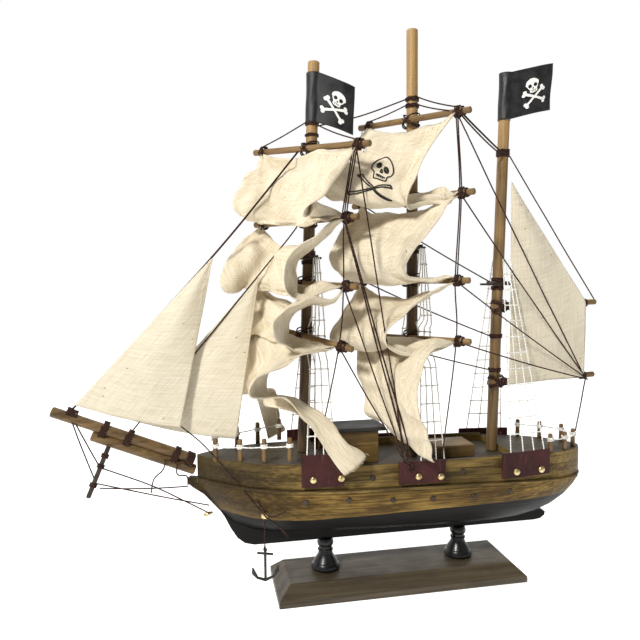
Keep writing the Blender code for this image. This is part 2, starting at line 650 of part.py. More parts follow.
def shroud_net(name, which, side, feet, foot_z, top, spread, rungs, yards=()):
    """A net of shrouds and ratlines as one lattice of square cord.  It passes
    between the mast and the port arms of the lower yards."""
    me = bpy.data.meshes.new(name)
    verts, faces = [], []
    n = len(feet)
    for j in range(rungs + 1):
        t = j / rungs
        for i, fx in enumerate(feet):
            foot = np.array((fx, side * (half_breadth(fx) + 2.0), foot_z))
            head = np.array((top[0] + spread * (i - (n - 1) / 2.0), side * top[1], top[2]))
            p = lerp(foot, head, t)
            for yard in yards:
                c, d = yard_frame(which, yard)
                e = (p[0] - c[0]) / d[0]
                away = max(0.0, abs(p[2] - c[2] - d[2] * e) - 8.0)
                p[1] = max(p[1], c[1] + d[1] * e + 5.0 - 1.6 * away)
            clear = math.sqrt(max(0.0, 4.9 ** 2 - p[1] ** 2))
            if abs(p[0] - mast_x(which, p[2])) < clear:
                p[0] = mast_x(which, p[2]) + clear
            verts.append(tuple(p * MM))
    for j in range(rungs):
        for i in range(n - 1):
            a = j * n + i
            faces.append((a, a + 1, a + n + 1, a + n))
    me.from_pydata(verts, [], faces)
    me.update()
    ob = bpy.data.objects.new(name, me)
    COLL.objects.link(ob)
    m = ob.modifiers.new("cords", 'WIREFRAME')
    m.thickness = 0.8 * MM
    m.use_even_offset = False
    m.use_boundary = True
    m.use_replace = True
    dg = bpy.context.evaluated_depsgraph_get()
    dg.update()
    out = bpy.data.meshes.new_from_object(ob.evaluated_get(dg))
    ob.modifiers.remove(m)
    ob.data = out
    bm = bmesh.new()
    bm.from_mesh(out)
    bmesh.ops.recalc_face_normals(bm, faces=bm.faces)
    bm.to_mesh(out)
    bm.free()
    return ob


# feet along the channel; height, half-breadth and set-back of the heads; spacing; rungs
SHROUDS = {"fore": ((-69.5, -64.5, -59.0, -52.0), 228.5, 5.3, 4.4, 1.2, 12),
           "main": ((5.0, 10.0, 15.5, 21.0), 235.0, 5.3, 5.6, 1.0, 12),
           "mizzen": ((69.5, 79.0, 87.5, 96.0), 227.0, 7.6, 2.2, 1.8, 12)}


def build_shrouds():
    for side, word in ((-1, "port"), (1, "starboard")):
        for key, (feet, ztop, ytop, aft, spread, rungs) in SHROUDS.items():
            z0 = CHANNELS[key][3] + 1.0
            top = (mast_x(key, ztop) + aft, ytop, ztop)
            yards = ()
            if side < 0 and key != "mizzen":
                yards = (FORE_YARDS if key == "fore" else MAIN_YARDS)[2:]
            shroud_net("shrouds_%s_%s" % (word, key), key, side, feet, z0, top, spread, rungs, yards)


def rail(name, posts, cord_height, closed=False):
    """Small turned posts on deck with one cord strung through them."""
    tops = []
    parts = []
    for k, (x, y, z, h) in enumerate(posts):
        parts.append(dowel(name + "_p%d" % k, (x, y, z), (x, y, z + h), 1.6, 10, 0.25, COLL))
        tops.append((x, y, z + cord_height))
    parts.insert(0, tube(name + "_c", tops, 0.45, 6, COLL))
    return join(name, parts)


def deck_z(x, block_x, block_z):
    return lerp(block_z[0], block_z[1], (x - block_x[0]) / (block_x[1] - block_x[0])) + 1.5 * GAP


def build_rails():
    def row(side, pts):
        return [(x, side * y, deck_z(x, FORECASTLE_X, FORECASTLE_Z), 15.0) for x, y in pts]
    pts = ((-79.5, 27.5), (-95.5, 23.2), (-110.5, 17.6), (-126.0, 9.6))
    rail("fore_rail", row(-1, pts) + list(reversed(row(1, pts))), 10.0)
    aft = ((106.0, 23.0), (121.0, 17.0), (133.5, 7.6))
    posts = [(x, -y, deck_z(x, POOP_X, POOP_Z), 13.0) for x, y in aft]
    posts += [(x, y, deck_z(x, POOP_X, POOP_Z), 13.0) for x, y in reversed(aft)]
    rail("stern_rail", posts, 9.0)


TACK = (-96.0, 62.5)            # bow tack: x and z of its shank
ANCHOR_HANG = 42.0              # height of the anchor's ring


def build_anchor():
    x, z = TACK
    y = -(hull_side(x, z + 2.2))
    # brass tack: round head standing off the planking on its shank
    head = []
    for off, r in ((0.15, 0.6), (1.7, 0.6), (1.8, 2.4), (2.5, 2.2), (3.1, 1.2)):
        head.append([(x + r * math.cos(a), y - off, z + r * math.sin(a))
                     for a in (2 * math.pi * k / 16 for k in range(16))])
    loft("anchor_tack", head)
    # hanging cord: a loop round the tack's shank, then straight down
    yc = y - 0.85
    ring = [(x + 1.15 * math.sin(a), yc, z + 1.15 * math.cos(a))
            for a in (math.radians(t) for t in (-150, -105, -60, -15, 30, 75, 120, 150))]
    path = ring + [(x + 0.15, yc, z - 3.0), (x, yc, z - 6.0), (x, yc, z - 14.0), (x, yc, ANCHOR_HANG + 0.3)]
    tube("anchor_cord", path, 0.35, 6)
    # anchor: shank with its ring eye, stock across it, curved arms
    zt = ANCHOR_HANG - 1.4
    shank = dowel("anchor_shank", (x, yc, zt), (x, yc, zt - 22.0), 0.9, 10, 0.2)
    stock = dowel("anchor_stock", (x - 5.2, yc - 0.6, zt - 2.6), (x + 5.2, yc + 0.6, zt - 5.0), 0.75, 10, 0.2)
    arm = [(x - 8.2, yc, zt - 12.5), (x - 7.6, yc, zt - 16.0), (x - 5.2, yc, zt - 19.4), (x, yc, zt - 21.4),
           (x + 5.2, yc, zt - 19.4), (x + 7.6, yc, zt - 16.0), (x + 8.2, yc, zt - 12.5)]
    arms = tube("anchor_arms", arm, [0.5, 1.5, 0.9, 1.1, 0.9, 1.5, 0.5], 8)
    join("anchor", [shank, stock, arms])


def hull_side(x, z):
    """Half-breadth of the lower hull at a height."""
    top, bot, b = wale_z(x), table(x, HULL_X, KEEL_Z), half_breadth(x)
    half = section(x, top, bot, b)
    zs = [p[1] for p in reversed(half)]
    ys = [p[0] for p in reversed(half)]
    return float(np.interp(z, zs, ys))


def build_rigging():
    """The outer stay, tied off at the jib boom and round the foremast."""
    fore = lambda z, dx=0.0, dy=0.0: (mast_x("fore", z) + dx, dy, z)
    tube("outer_forestay", [(-217.5, -0.6, 131.6), (-124.8, 1.4, 231.5), fore(312.0, -(MAST_R + 0.9))], 0.5, 6)


def main():
    clear()
    build_stand()
    build_hull()
    build_decks()
    build_spars()
    build_channels()
    build_sails()
    build_flags()
    build_shrouds()
    build_rails()
    build_anchor()
    build_rigging()


main()
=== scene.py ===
import math

import bmesh
import bpy
import numpy as np
from mathutils import Matrix, Vector, noise
from mathutils.bvhtree import BVHTree


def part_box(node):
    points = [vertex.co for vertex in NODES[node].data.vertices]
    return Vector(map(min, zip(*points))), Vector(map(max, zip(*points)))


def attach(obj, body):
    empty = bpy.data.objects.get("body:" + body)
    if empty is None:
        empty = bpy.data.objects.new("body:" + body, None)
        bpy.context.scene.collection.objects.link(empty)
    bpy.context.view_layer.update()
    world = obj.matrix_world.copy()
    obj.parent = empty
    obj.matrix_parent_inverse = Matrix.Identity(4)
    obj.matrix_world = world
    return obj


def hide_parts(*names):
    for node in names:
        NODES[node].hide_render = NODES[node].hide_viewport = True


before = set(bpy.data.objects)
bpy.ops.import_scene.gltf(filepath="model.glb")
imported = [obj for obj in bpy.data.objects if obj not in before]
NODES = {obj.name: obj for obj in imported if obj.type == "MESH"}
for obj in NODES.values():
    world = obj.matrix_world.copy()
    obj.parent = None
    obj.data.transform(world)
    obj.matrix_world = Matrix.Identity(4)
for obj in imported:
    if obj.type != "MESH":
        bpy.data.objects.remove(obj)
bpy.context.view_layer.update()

# World: +Z up, bow to -X, port to -Y, origin under the middle of the stand.
# Numbers are millimetres unless a name says otherwise.
MM = 0.001
SHIP = "ship"


def vec(*p):
    return np.array(p, float)


def lerp(a, b, t):
    return a + (b - a) * t


def bezier(p, t):
    a, b, c, d = (np.array(q, float) for q in p)
    s = 1.0 - t
    return s * s * s * a + 3 * s * s * t * b + 3 * s * t * t * c + t * t * t * d


def unit(v):
    v = np.array(v, float)
    return v / max(np.linalg.norm(v), 1e-9)


def wobble(p, scale, seed=0.0):
    return noise.noise(Vector((p[0] / scale + seed, p[1] / scale - seed, p[2] / scale + 2.0 * seed)))


# ------------------------------------------------------------------ the camera
def make_camera():
    yaw, pitch, roll = (math.radians(a) for a in (10.942, 3.894, -0.549))
    fwd = vec(math.sin(yaw) * math.cos(pitch), math.cos(yaw) * math.cos(pitch), -math.sin(pitch))
    right = vec(math.cos(yaw), -math.sin(yaw), 0.0)
    up = np.cross(right, fwd)
    r = right * math.cos(roll) + up * math.sin(roll)
    u = -right * math.sin(roll) + up * math.cos(roll)
    cam = bpy.data.cameras.new("camera")
    cam.sensor_width, cam.lens, cam.clip_start = 36.0, 35.02, 0.01
    ob = bpy.data.objects.new("camera", cam)
    bpy.context.scene.collection.objects.link(ob)
    m = Matrix.Identity(4)
    for i in range(3):
        m[i][0], m[i][1], m[i][2] = r[i], u[i], -fwd[i]
    m[0][3], m[1][3], m[2][3] = -0.13417, -0.41579, 0.21495
    ob.matrix_world = m
    bpy.context.scene.camera = ob


# ------------------------------------------------------------------- materials
def new_mat(name, rough=0.6, metal=0.0, coat=0.0, spec=0.5, sheen=0.0):
    m = bpy.data.materials.new(name)
    m.use_nodes = True
    b = m.node_tree.nodes["Principled BSDF"]
    b.inputs["Roughness"].default_value = rough
    b.inputs["Metallic"].default_value = metal
    b.inputs["Coat Weight"].default_value = coat
    b.inputs["Coat Roughness"].default_value = 0.2
    b.inputs["Specular IOR Level"].default_value = spec
    b.inputs["Sheen Weight"].default_value = sheen
    return m, m.node_tree, b


def nd(t, kind, ins=(), **attrs):
    n = t.nodes.new("ShaderNode" + kind)
    for k, v in attrs.items():
        setattr(n, k, v)
    for k, v in dict(ins).items():
        s = n.inputs[k]
        if isinstance(v, bpy.types.NodeSocket):
            t.links.new(v, s)
        else:
            s.default_value = v
    return n


def coords(t, scale, rot=(0, 0, 0), which="Object"):
    """Coordinates turned by rot and then multiplied by scale."""
    tc = nd(t, "TexCoord")
    return nd(t, "Mapping", {"Vector": tc.outputs[which], "Rotation": rot,
                             "Scale": tuple(1.0 / s for s in scale)},
              vector_type="TEXTURE").outputs[0]


def noise_tex(t, v, scale=1.0, detail=4.0, rough=0.55, distort=0.0):
    return nd(t, "TexNoise", {"Vector": v, "Scale": scale, "Detail": detail, "Roughness": rough,
                              "Distortion": distort}).outputs["Fac"]


def ramp(t, fac, stops, mode="LINEAR"):
    n = nd(t, "ValToRGB", {"Fac": fac})
    cr = n.color_ramp
    cr.interpolation = mode
    while len(cr.elements) < len(stops):
        cr.elements.new(0.5)
    for e, (p, c) in zip(cr.elements, stops):
        e.position = p
        e.color = (c, c, c, 1) if isinstance(c, (int, float)) else (*c, 1)
    return n.outputs[0]


def mix(t, fac, a, b, mode="MIX"):
    n = nd(t, "Mix", data_type="RGBA", blend_type=mode)
    for i, v in ((0, fac), (6, a), (7, b)):
        if isinstance(v, bpy.types.NodeSocket):
            t.links.new(v, n.inputs[i])
        else:
            n.inputs[i].default_value = v if i == 0 else (*v, 1) if len(v) == 3 else v
    return n.outputs[2]


def op(t, kind, a, b=0.5, c=0.5, clamp=False):
    n = nd(t, "Math", operation=kind, use_clamp=clamp)
    for i, v in enumerate((a, b, c)):
        if isinstance(v, bpy.types.NodeSocket):
            t.links.new(v, n.inputs[i])
        else:
            n.inputs[i].default_value = v
    return n.outputs[0]


def bump(t, b, height, strength, dist_mm, under=None):
    ins = {"Height": height, "Strength": strength, "Distance": dist_mm * MM}
    if under is not None:
        ins["Normal"] = under
    n = nd(t, "Bump", ins).outputs[0]
    t.links.new(n, b.inputs["Normal"])
    return n


def wood(name, dark, light, rot=(0, 0, 0), rough=0.5, coat=0.0, fine=1100.0, long=22.0, head=None):
    """Stained wood with its grain along X after rot; head is the lowest and
    highest z in metres over which painted shade below gives way to a
    lighter colour above, painted light, and that lighter colour."""
    m, t, b = new_mat(name, rough, coat=coat, spec=0.3)
    grain = noise_tex(t, coords(t, (long, fine, fine), rot), detail=5.0, rough=0.62, distort=0.15)
    broad = noise_tex(t, coords(t, (long * 0.6, fine * 0.16, fine * 0.16), rot), detail=3.0)
    patch = noise_tex(t, coords(t, (45, 90, 90), rot), detail=2.0)
    tone = op(t, "ADD", op(t, "MULTIPLY", grain, 0.55), op(t, "MULTIPLY", broad, 0.45))
    mid = tuple(lerp(d, l, 0.5) for d, l in zip(dark, light))
    base = ramp(t, tone, ((0.34, dark), (0.5, mid), (0.64, light)))
    wear_and_painted_shade = mix(t, ramp(t, patch, ((0.35, 0.0), (0.7, 0.35))), base, tuple(c * 0.55 for c in dark))
    if head:
        # painted shade and light: the wood stays darker below the first height in head and turns to head's
        # lighter colour above the second
        z = nd(t, "SeparateXYZ", {"Vector": nd(t, "TexCoord").outputs["Object"]}).outputs[2]
        edge = op(t, "ADD", z, op(t, "MULTIPLY", op(t, "SUBTRACT", patch, 0.5), 0.09))
        painted_light_above = nd(t, "MapRange", {"Value": edge,
                                  "From Min": head[0], "From Max": head[1]}).outputs[0]
        painted_lit_colour = ramp(t, tone, ((0.34, tuple(c * 0.55 for c in head[2])), (0.64, head[2])))
        wear_and_painted_shade = mix(t, painted_light_above, wear_and_painted_shade, painted_lit_colour)
    pores = ramp(t, grain, ((0.3, 1.0), (0.4, 0.0)))
    t.links.new(mix(t, op(t, "MULTIPLY", pores, 0.5), wear_and_painted_shade, tuple(c * 0.3 for c in dark)),
                b.inputs["Base Color"])
    t.links.new(ramp(t, patch, ((0.3, max(rough - 0.1, 0.1)), (0.8, min(rough + 0.15, 1.0)))),
                b.inputs["Roughness"])
    bump(t, b, tone, 0.35, 0.25)
    return m


SHEER_X = (-138.0, -102.0, -70.0, -20.0, 10.0, 40.0, 66.0, 86.0, 102.0, 115.0, 125.0, 141.5)
SHEER_Z = (83.6, 80.8, 79.2, 78.5, 78.0, 77.2, 75.9, 74.5, 73.3, 72.2, 71.4, 70.2)
PAINT_X = (-145.0, -112.0, -85.0, -40.0, 0.0, 40.0, 70.0, 100.0, 145.0)
PAINT_Z = (63.0, 59.5, 57.0, 58.6, 60.0, 60.6, 60.6, 59.6, 58.2)


def curve_of_x(t, x, xs, zs):
    """A height in millimetres as a function of x in metres."""
    lo, hi, z0, z1 = xs[0], xs[-1], min(zs) - 1.0, max(zs) + 1.0
    f = nd(t, "MapRange", {"Value": x, "From Min": lo * MM, "From Max": hi * MM}).outputs[0]
    n = nd(t, "FloatCurve", {"Value": f, "Factor": 1.0})
    c = n.mapping.curves[0]
    pts = [((a - lo) / (hi - lo), (z - z0) / (z1 - z0)) for a, z in zip(xs, zs)]
    while len(c.points) < len(pts):
        c.points.new(0.5, 0.5)
    for p, q in zip(c.points, pts):
        p.location = q
    n.mapping.update()
    return nd(t, "MapRange", {"Value": n.outputs[0], "To Min": z0, "To Max": z1}).outputs[0]


def planked(name, dark, light, top=None, painted=True, plank=4.6):
    """Stained planking that follows the sheer, black below the paint line;
    top is the colour of faces that look up."""
    m, t, b = new_mat(name, 0.5, coat=0.0, spec=0.14)
    tc = nd(t, "TexCoord").outputs["Object"]
    xyz = nd(t, "SeparateXYZ", {"Vector": tc})
    x, z = xyz.outputs[0], op(t, "MULTIPLY", xyz.outputs[2], 1000.0)
    s = op(t, "SUBTRACT", z, curve_of_x(t, x, SHEER_X, SHEER_Z))
    row = op(t, "DIVIDE", s, plank)
    index = op(t, "FLOOR", row)
    within = op(t, "FRACT", row)
    seam = ramp(t, op(t, "ABSOLUTE", op(t, "SUBTRACT", within, 0.5)), ((0.44, 0.0), (0.5, 1.0)))
    each = nd(t, "TexWhiteNoise", {"W": index}, noise_dimensions="1D").outputs["Value"]
    grain = noise_tex(t, coords(t, (24, 900, 900)), detail=5.0, rough=0.62, distort=0.2)
    cloud = noise_tex(t, coords(t, (28, 60, 110)), detail=4.0, rough=0.6)
    mid = tuple(lerp(d, l, 0.5) for d, l in zip(dark, light))
    tone = op(t, "ADD", op(t, "MULTIPLY", grain, 0.5), op(t, "MULTIPLY", cloud, 0.5))
    tone = op(t, "ADD", tone, op(t, "MULTIPLY", op(t, "SUBTRACT", each, 0.5), 0.10))
    base = ramp(t, tone, ((0.41, dark), (0.5, mid), (0.59, light)))
    base = mix(t, op(t, "MULTIPLY", seam, 0.55), base, tuple(c * 0.25 for c in dark))
    soot = ramp(t, noise_tex(t, coords(t, (14, 30, 40)), detail=3.0), ((0.42, 0.0), (0.68, 0.6)))
    base = mix(t, soot, base, tuple(c * 0.4 for c in dark))
    # painted shade: darker towards the bow
    bow_painted_shade = nd(t, "MapRange", {"Value": x, "From Min": -0.138, "From Max": -0.070,
                             "To Min": 0.84, "To Max": 0.0}).outputs[0]
    base = mix(t, bow_painted_shade, base, (0.014, 0.010, 0.006))
    if top is not None:
        n = nd(t, "SeparateXYZ", {"Vector": nd(t, "NewGeometry").outputs["Normal"]}).outputs[2]
        deck_grain = noise_tex(t, coords(t, (20, 700, 700)), detail=5.0, rough=0.6)
        deck = ramp(t, deck_grain, ((0.35, tuple(c * 0.62 for c in top)), (0.62, top)))
        boards = op(t, "ABSOLUTE", op(t, "SUBTRACT", op(t, "FRACT", op(t, "DIVIDE", op(
            t, "MULTIPLY", xyz.outputs[1], 1000.0), 6.5)), 0.5))
        deck = mix(t, ramp(t, boards, ((0.46, 0.0), (0.5, 0.5))), deck, tuple(c * 0.3 for c in top))
        base = mix(t, ramp(t, n, ((0.6, 0.0), (0.9, 1.0))), base, deck)
    if painted:
        edge = op(t, "ADD", curve_of_x(t, x, PAINT_X, PAINT_Z),
                  op(t, "MULTIPLY", op(t, "SUBTRACT", cloud, 0.5), 1.2))
        below = op(t, "ADD", op(t, "SUBTRACT", edge, z), 0.5, clamp=True)
        below = ramp(t, below, ((0.35, 0.0), (0.65, 1.0)))
        black = ramp(t, cloud, ((0.3, (0.004, 0.004, 0.004)), (0.75, (0.012, 0.011, 0.010))))
        base = mix(t, below, base, black)
    t.links.new(base, b.inputs["Base Color"])
    t.links.new(ramp(t, cloud, ((0.3, 0.42), (0.7, 0.62))), b.inputs["Roughness"])
    h = op(t, "SUBTRACT", op(t, "MULTIPLY", grain, 0.35), seam)
    bump(t, b, h, 0.4, 0.25)
    return m


THREAD_PITCH = 0.42             # of the canvas


def canvas(name, light, shadow_colour):
    """Unbleached plain weave, on a map of one unit per 100 mm of cloth; slubs and blotches carry painted shade.
    """
    m, t, b = new_mat(name, 0.92, spec=0.1, sheen=0.08)
    uv = nd(t, "TexCoord").outputs["UV"]
    turns = 100.0 / THREAD_PITCH / 3.183
    warp = nd(t, "TexWave", {"Vector": uv, "Scale": turns, "Distortion": 1.2, "Detail": 2.0,
                             "Detail Scale": 0.6}, bands_direction="X").outputs["Fac"]
    weft = nd(t, "TexWave", {"Vector": uv, "Scale": turns, "Distortion": 1.2, "Detail": 2.0,
                             "Detail Scale": 0.6}, bands_direction="Y").outputs["Fac"]
    mp = lambda s: nd(t, "Mapping", {"Vector": uv, "Scale": s}).outputs[0]
    slub_a = noise_tex(t, mp((6, 130, 1)), detail=4.0, rough=0.7)
    slub_b = noise_tex(t, mp((130, 6, 1)), detail=4.0, rough=0.7)
    shade_blotch = noise_tex(t, mp((4, 4, 1)), detail=4.0, rough=0.6)
    tone = op(t, "ADD", op(t, "MULTIPLY", slub_a, 0.5), op(t, "MULTIPLY", slub_b, 0.5))
    # painted shade: the slubs and blotches run down to the second colour, which is the cloth's colour in shade
    col = ramp(t, tone, ((0.40, shadow_colour), (0.57, light)))
    col = mix(t, ramp(t, shade_blotch, ((0.35, 0.0), (0.75, 0.35))), col, shadow_colour)
    weave = op(t, "MULTIPLY", warp, weft)
    col = mix(t, op(t, "MULTIPLY", op(t, "SUBTRACT", 1.0, weave), 0.10), col, tuple(c * 0.7 for c in shadow_colour))
    spots = nd(t, "TexVoronoi", {"Vector": mp((17, 11, 1)), "Scale": 1.0, "Randomness": 1.0})
    pick = nd(t, "SeparateColor", {"Color": spots.outputs["Color"]}).outputs[0]
    dot = op(t, "MULTIPLY", ramp(t, spots.outputs["Distance"], ((0.05, 1.0), (0.1, 0.0))),
             ramp(t, pick, ((0.70, 0.0), (0.74, 1.0))))
    col = mix(t, op(t, "MULTIPLY", dot, 0.75), col, (0.16, 0.09, 0.04))
    t.links.new(col, b.inputs["Base Color"])
    h = op(t, "ADD", op(t, "MULTIPLY", op(t, "ADD", warp, weft), 0.4), op(t, "MULTIPLY", tone, 0.8))
    bump(t, b, h, 0.6, 0.16)
    return m


def thread_mat(name, dark, light, rough=0.85, lay=2600.0):
    """Twisted cord: fine diagonal strands and a little fuzz."""
    m, t, b = new_mat(name, rough, spec=0.12, sheen=0.04)
    v = coords(t, (1, 1, 1))
    strand = nd(t, "TexWave", {"Vector": v, "Scale": lay / 3.183 / 3.0, "Distortion": 1.0, "Detail": 1.0},
                bands_direction="DIAGONAL").outputs["Fac"]
    fuzz = noise_tex(t, coords(t, (260, 260, 260)), detail=3.0)
    col = ramp(t, op(t, "ADD", op(t, "MULTIPLY", strand, 0.45), op(t, "MULTIPLY", fuzz, 0.55)),
               ((0.3, dark), (0.7, light)))
    t.links.new(col, b.inputs["Base Color"])
    bump(t, b, strand, 0.4, 0.15)
    return m


def leather_mat():
    m, t, b = new_mat("leather", 0.6, spec=0.15)
    cells = nd(t, "TexVoronoi", {"Vector": coords(t, (900, 900, 900)), "Scale": 1.0},
               feature="DISTANCE_TO_EDGE").outputs["Distance"]
    patch = noise_tex(t, coords(t, (70, 70, 70)), detail=4.0)
    scuff = noise_tex(t, coords(t, (180, 180, 40)), detail=5.0, rough=0.7)
    col = ramp(t, patch, ((0.3, (0.026, 0.008, 0.008)), (0.7, (0.066, 0.020, 0.019))))
    col = mix(t, ramp(t, scuff, ((0.58, 0.0), (0.75, 0.5))), col, (0.15, 0.07, 0.055))
    t.links.new(col, b.inputs["Base Color"])
    t.links.new(ramp(t, patch, ((0.3, 0.42), (0.7, 0.68))), b.inputs["Roughness"])
    bump(t, b, op(t, "ADD", ramp(t, cells, ((0.0, 0.0), (0.25, 1.0))), scuff), 0.35, 0.12)
    return m


def metal_mat(name, dark, light, rough, metal=1.0):
    m, t, b = new_mat(name, rough, metal)
    n = noise_tex(t, coords(t, (420, 420, 420)), detail=5.0, rough=0.65)
    t.links.new(ramp(t, n, ((0.35, dark), (0.62, light))), b.inputs["Base Color"])
    t.links.new(ramp(t, n, ((0.3, rough + 0.2), (0.7, max(rough - 0.08, 0.05)))), b.inputs["Roughness"])
    bump(t, b, n, 0.2, 0.12)
    return m


def flag_mat():
    m, t, b = new_mat("flag_black", 0.4, spec=0.5, sheen=0.0)
    uv = nd(t, "TexCoord").outputs["UV"]
    w = [nd(t, "TexWave", {"Vector": uv, "Scale": 100.0 / 0.3 / 3.183, "Distortion": 0.6},
            bands_direction=d).outputs["Fac"] for d in ("X", "Y")]
    dust = noise_tex(t, coords(t, (160, 160, 160)), detail=5.0)
    t.links.new(ramp(t, dust, ((0.4, (0.006, 0.006, 0.007)), (0.75, (0.020, 0.019, 0.020)))),
                b.inputs["Base Color"])
    t.links.new(ramp(t, dust, ((0.3, 0.38), (0.7, 0.6))), b.inputs["Roughness"])
    bump(t, b, op(t, "MULTIPLY", w[0], w[1]), 0.25, 0.08)
    return m


def print_mat():
    m, t, b = new_mat("flag_print", 0.75)
    n = noise_tex(t, coords(t, (1400, 1400, 1400)), detail=3.0)
    t.links.new(ramp(t, n, ((0.3, (0.62, 0.61, 0.58)), (0.55, (0.86, 0.85, 0.81)))), b.inputs["Base Color"])
    bump(t, b, n, 0.3, 0.05)
    return m


Z_ROT = (0.0, math.radians(-90.0), 0.0)      # grain along Z
YARD_ROT = (0.0, 0.0, math.radians(-50.0))   # grain along the yards
M = {
    "hull": planked("hull_planks", (0.070, 0.038, 0.008), (0.31, 0.195, 0.050)),
    "upper": planked("upper_planks", (0.065, 0.040, 0.011), (0.27, 0.180, 0.055),
                     top=(0.065, 0.052, 0.032), painted=False, plank=5.2),
    "house": wood("house_wood", (0.075, 0.044, 0.013), (0.22, 0.135, 0.042), rough=0.5),
    "hatch": wood("hatch_wood", (0.13, 0.080, 0.026), (0.30, 0.19, 0.068), rough=0.5),
    "roof": wood("roof_wood", (0.018, 0.017, 0.015), (0.055, 0.050, 0.043), rough=0.6),
    "base": wood("base_wood", (0.034, 0.025, 0.014), (0.115, 0.090, 0.055), rough=0.45, coat=0.05,
                 fine=520.0, long=12.0),
    # painted shade: the fore and main masts take a darker copy of the mizzen's wood; both masts lighten above
    # their head heights, painted light
    "mast": wood("mast_wood_painted_shade", (0.030, 0.018, 0.009), (0.15, 0.092, 0.042), rot=Z_ROT, rough=0.45,
                 head=(0.235, 0.325, (0.42, 0.26, 0.105))),
    "bowsprit": wood("bowsprit_wood", (0.045, 0.025, 0.010), (0.21, 0.13, 0.052), rough=0.45),
    "mizzen": wood("mizzen_wood", (0.075, 0.043, 0.017), (0.26, 0.165, 0.070), rot=Z_ROT, rough=0.45,
                   head=(0.27, 0.33, (0.42, 0.26, 0.105))),
    "yard": wood("yard_wood", (0.10, 0.058, 0.022), (0.31, 0.195, 0.085), rot=YARD_ROT, rough=0.5),
    "spar": wood("spar_wood", (0.075, 0.043, 0.016), (0.25, 0.155, 0.064), rough=0.5),
    "post": wood("post_wood", (0.085, 0.046, 0.018), (0.24, 0.14, 0.058), rot=Z_ROT, rough=0.5),
    "dark_wood": wood("dark_wood", (0.018, 0.012, 0.008), (0.06, 0.04, 0.025), rough=0.5),
    "black": wood("pedestal_black", (0.004, 0.004, 0.004), (0.011, 0.011, 0.011), rot=Z_ROT, rough=0.36,
                  coat=0.1),
    # painted shade: the second colour of each canvas is the cloth's colour in shade
    "canvas": canvas("canvas", (0.80, 0.73, 0.58), (0.56, 0.46, 0.31)),
    "jib": canvas("jib_canvas", (0.74, 0.685, 0.555), (0.56, 0.49, 0.36)),
    "cord": thread_mat("cord_dark", (0.013, 0.006, 0.004), (0.058, 0.027, 0.019)),
    "black_cord": thread_mat("cord_black", (0.010, 0.009, 0.009), (0.035, 0.031, 0.030)),
    "white": thread_mat("cord_white", (0.66, 0.64, 0.58), (0.90, 0.89, 0.85)),
    "leather": leather_mat(),
    "brass": metal_mat("brass", (0.34, 0.24, 0.09), (0.80, 0.66, 0.36), 0.28),
    "steel": metal_mat("eye_steel", (0.42, 0.40, 0.36), (0.80, 0.78, 0.73), 0.25),
    "iron": metal_mat("anchor_iron", (0.012, 0.012, 0.012), (0.06, 0.057, 0.052), 0.42, 0.6),
    "flag": flag_mat(),
    "print": print_mat(),
    "fray": thread_mat("canvas_thread", (0.52, 0.43, 0.28), (0.80, 0.72, 0.55)),
    "ink": thread_mat("ink", (0.010, 0.009, 0.009), (0.045, 0.038, 0.034)),
}


# -------------------------------------------------------------- making pieces
def finish_piece(ob, mat, body):
    if ob.data.materials:
        ob.data.materials.clear()
    ob.data.materials.append(M[mat])
    bpy.context.scene.collection.objects.link(ob)
    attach(ob, body)
    return ob


def mesh_piece(name, verts, faces, mat, body=SHIP, smooth=True, uvs=None):
    me = bpy.data.meshes.new(name)
    me.from_pydata([tuple(float(c) * MM for c in v) for v in verts], [], faces)
    me.update()
    if uvs is not None:
        lay = me.uv_layers.new(name="UVMap")
        idx = np.zeros(len(me.loops), np.int32)
        me.loops.foreach_get("vertex_index", idx)
        lay.data.foreach_set("uv", np.array(uvs, np.float32)[idx].ravel())
    me.polygons.foreach_set("use_smooth", [smooth] * len(me.polygons))
    return finish_piece(bpy.data.objects.new(name, me), mat, body)


def shells(name, parts, mat, body=SHIP, smooth=True):
    """Several closed (verts, faces) shells as one piece."""
    vs, fs = [], []
    for v, f in parts:
        k = len(vs)
        vs.extend(v)
        fs.extend([tuple(i + k for i in face) for face in f])
    return mesh_piece(name, vs, fs, mat, body, smooth)


def lathe_shell(profile, centre, axis, n=20):
    """A turned shape: profile is (radius, height along the axis)."""
    a = unit(axis)
    side = unit(np.cross(a, vec(0.0, 0.0, 1.0) if abs(a[2]) < 0.9 else vec(1.0, 0.0, 0.0)))
    other = np.cross(a, side)
    c = np.array(centre, float)
    ring = [side * math.cos(2 * math.pi * k / n) + other * math.sin(2 * math.pi * k / n) for k in range(n)]
    vs = [c + a * h + way * max(r, 0.01) for r, h in profile for way in ring]
    fs = [(i * n + k, i * n + (k + 1) % n, (i + 1) * n + (k + 1) % n, (i + 1) * n + k)
          for i in range(len(profile) - 1) for k in range(n)]
    fs.append(tuple(reversed(range(n))))
    fs.append(tuple((len(profile) - 1) * n + k for k in range(n)))
    return vs, fs


def curves(name, lines, r, mat, body=SHIP, cyclic=False, sides=2):
    cu = bpy.data.curves.new(name, "CURVE")
    cu.dimensions = "3D"
    cu.bevel_depth, cu.bevel_resolution, cu.use_fill_caps = r * MM, sides, True
    for pts in lines:
        sp = cu.splines.new("POLY")
        sp.points.add(len(pts) - 1)
        for p, q in zip(sp.points, pts):
            p.co = (q[0] * MM, q[1] * MM, q[2] * MM, 1.0)
        sp.use_cyclic_u = cyclic
        sp.use_smooth = True
    return finish_piece(bpy.data.objects.new(name, cu), mat, body)


def smooth_path(pts, per=8):
    """Catmull-Rom through the points."""
    p = [np.array(q, float) for q in pts]
    p = [2 * p[0] - p[1]] + p + [2 * p[-1] - p[-2]]
    out = []
    for i in range(1, len(p) - 2):
        for k in range(per):
            t = k / per
            a, b, c, d = p[i - 1], p[i], p[i + 1], p[i + 2]
            out.append(0.5 * ((2 * b) + (c - a) * t + (2 * a - 5 * b + 4 * c - d) * t * t
                              + (3 * b - a - 3 * c + d) * t ** 3))
    out.append(p[-2])
    return out


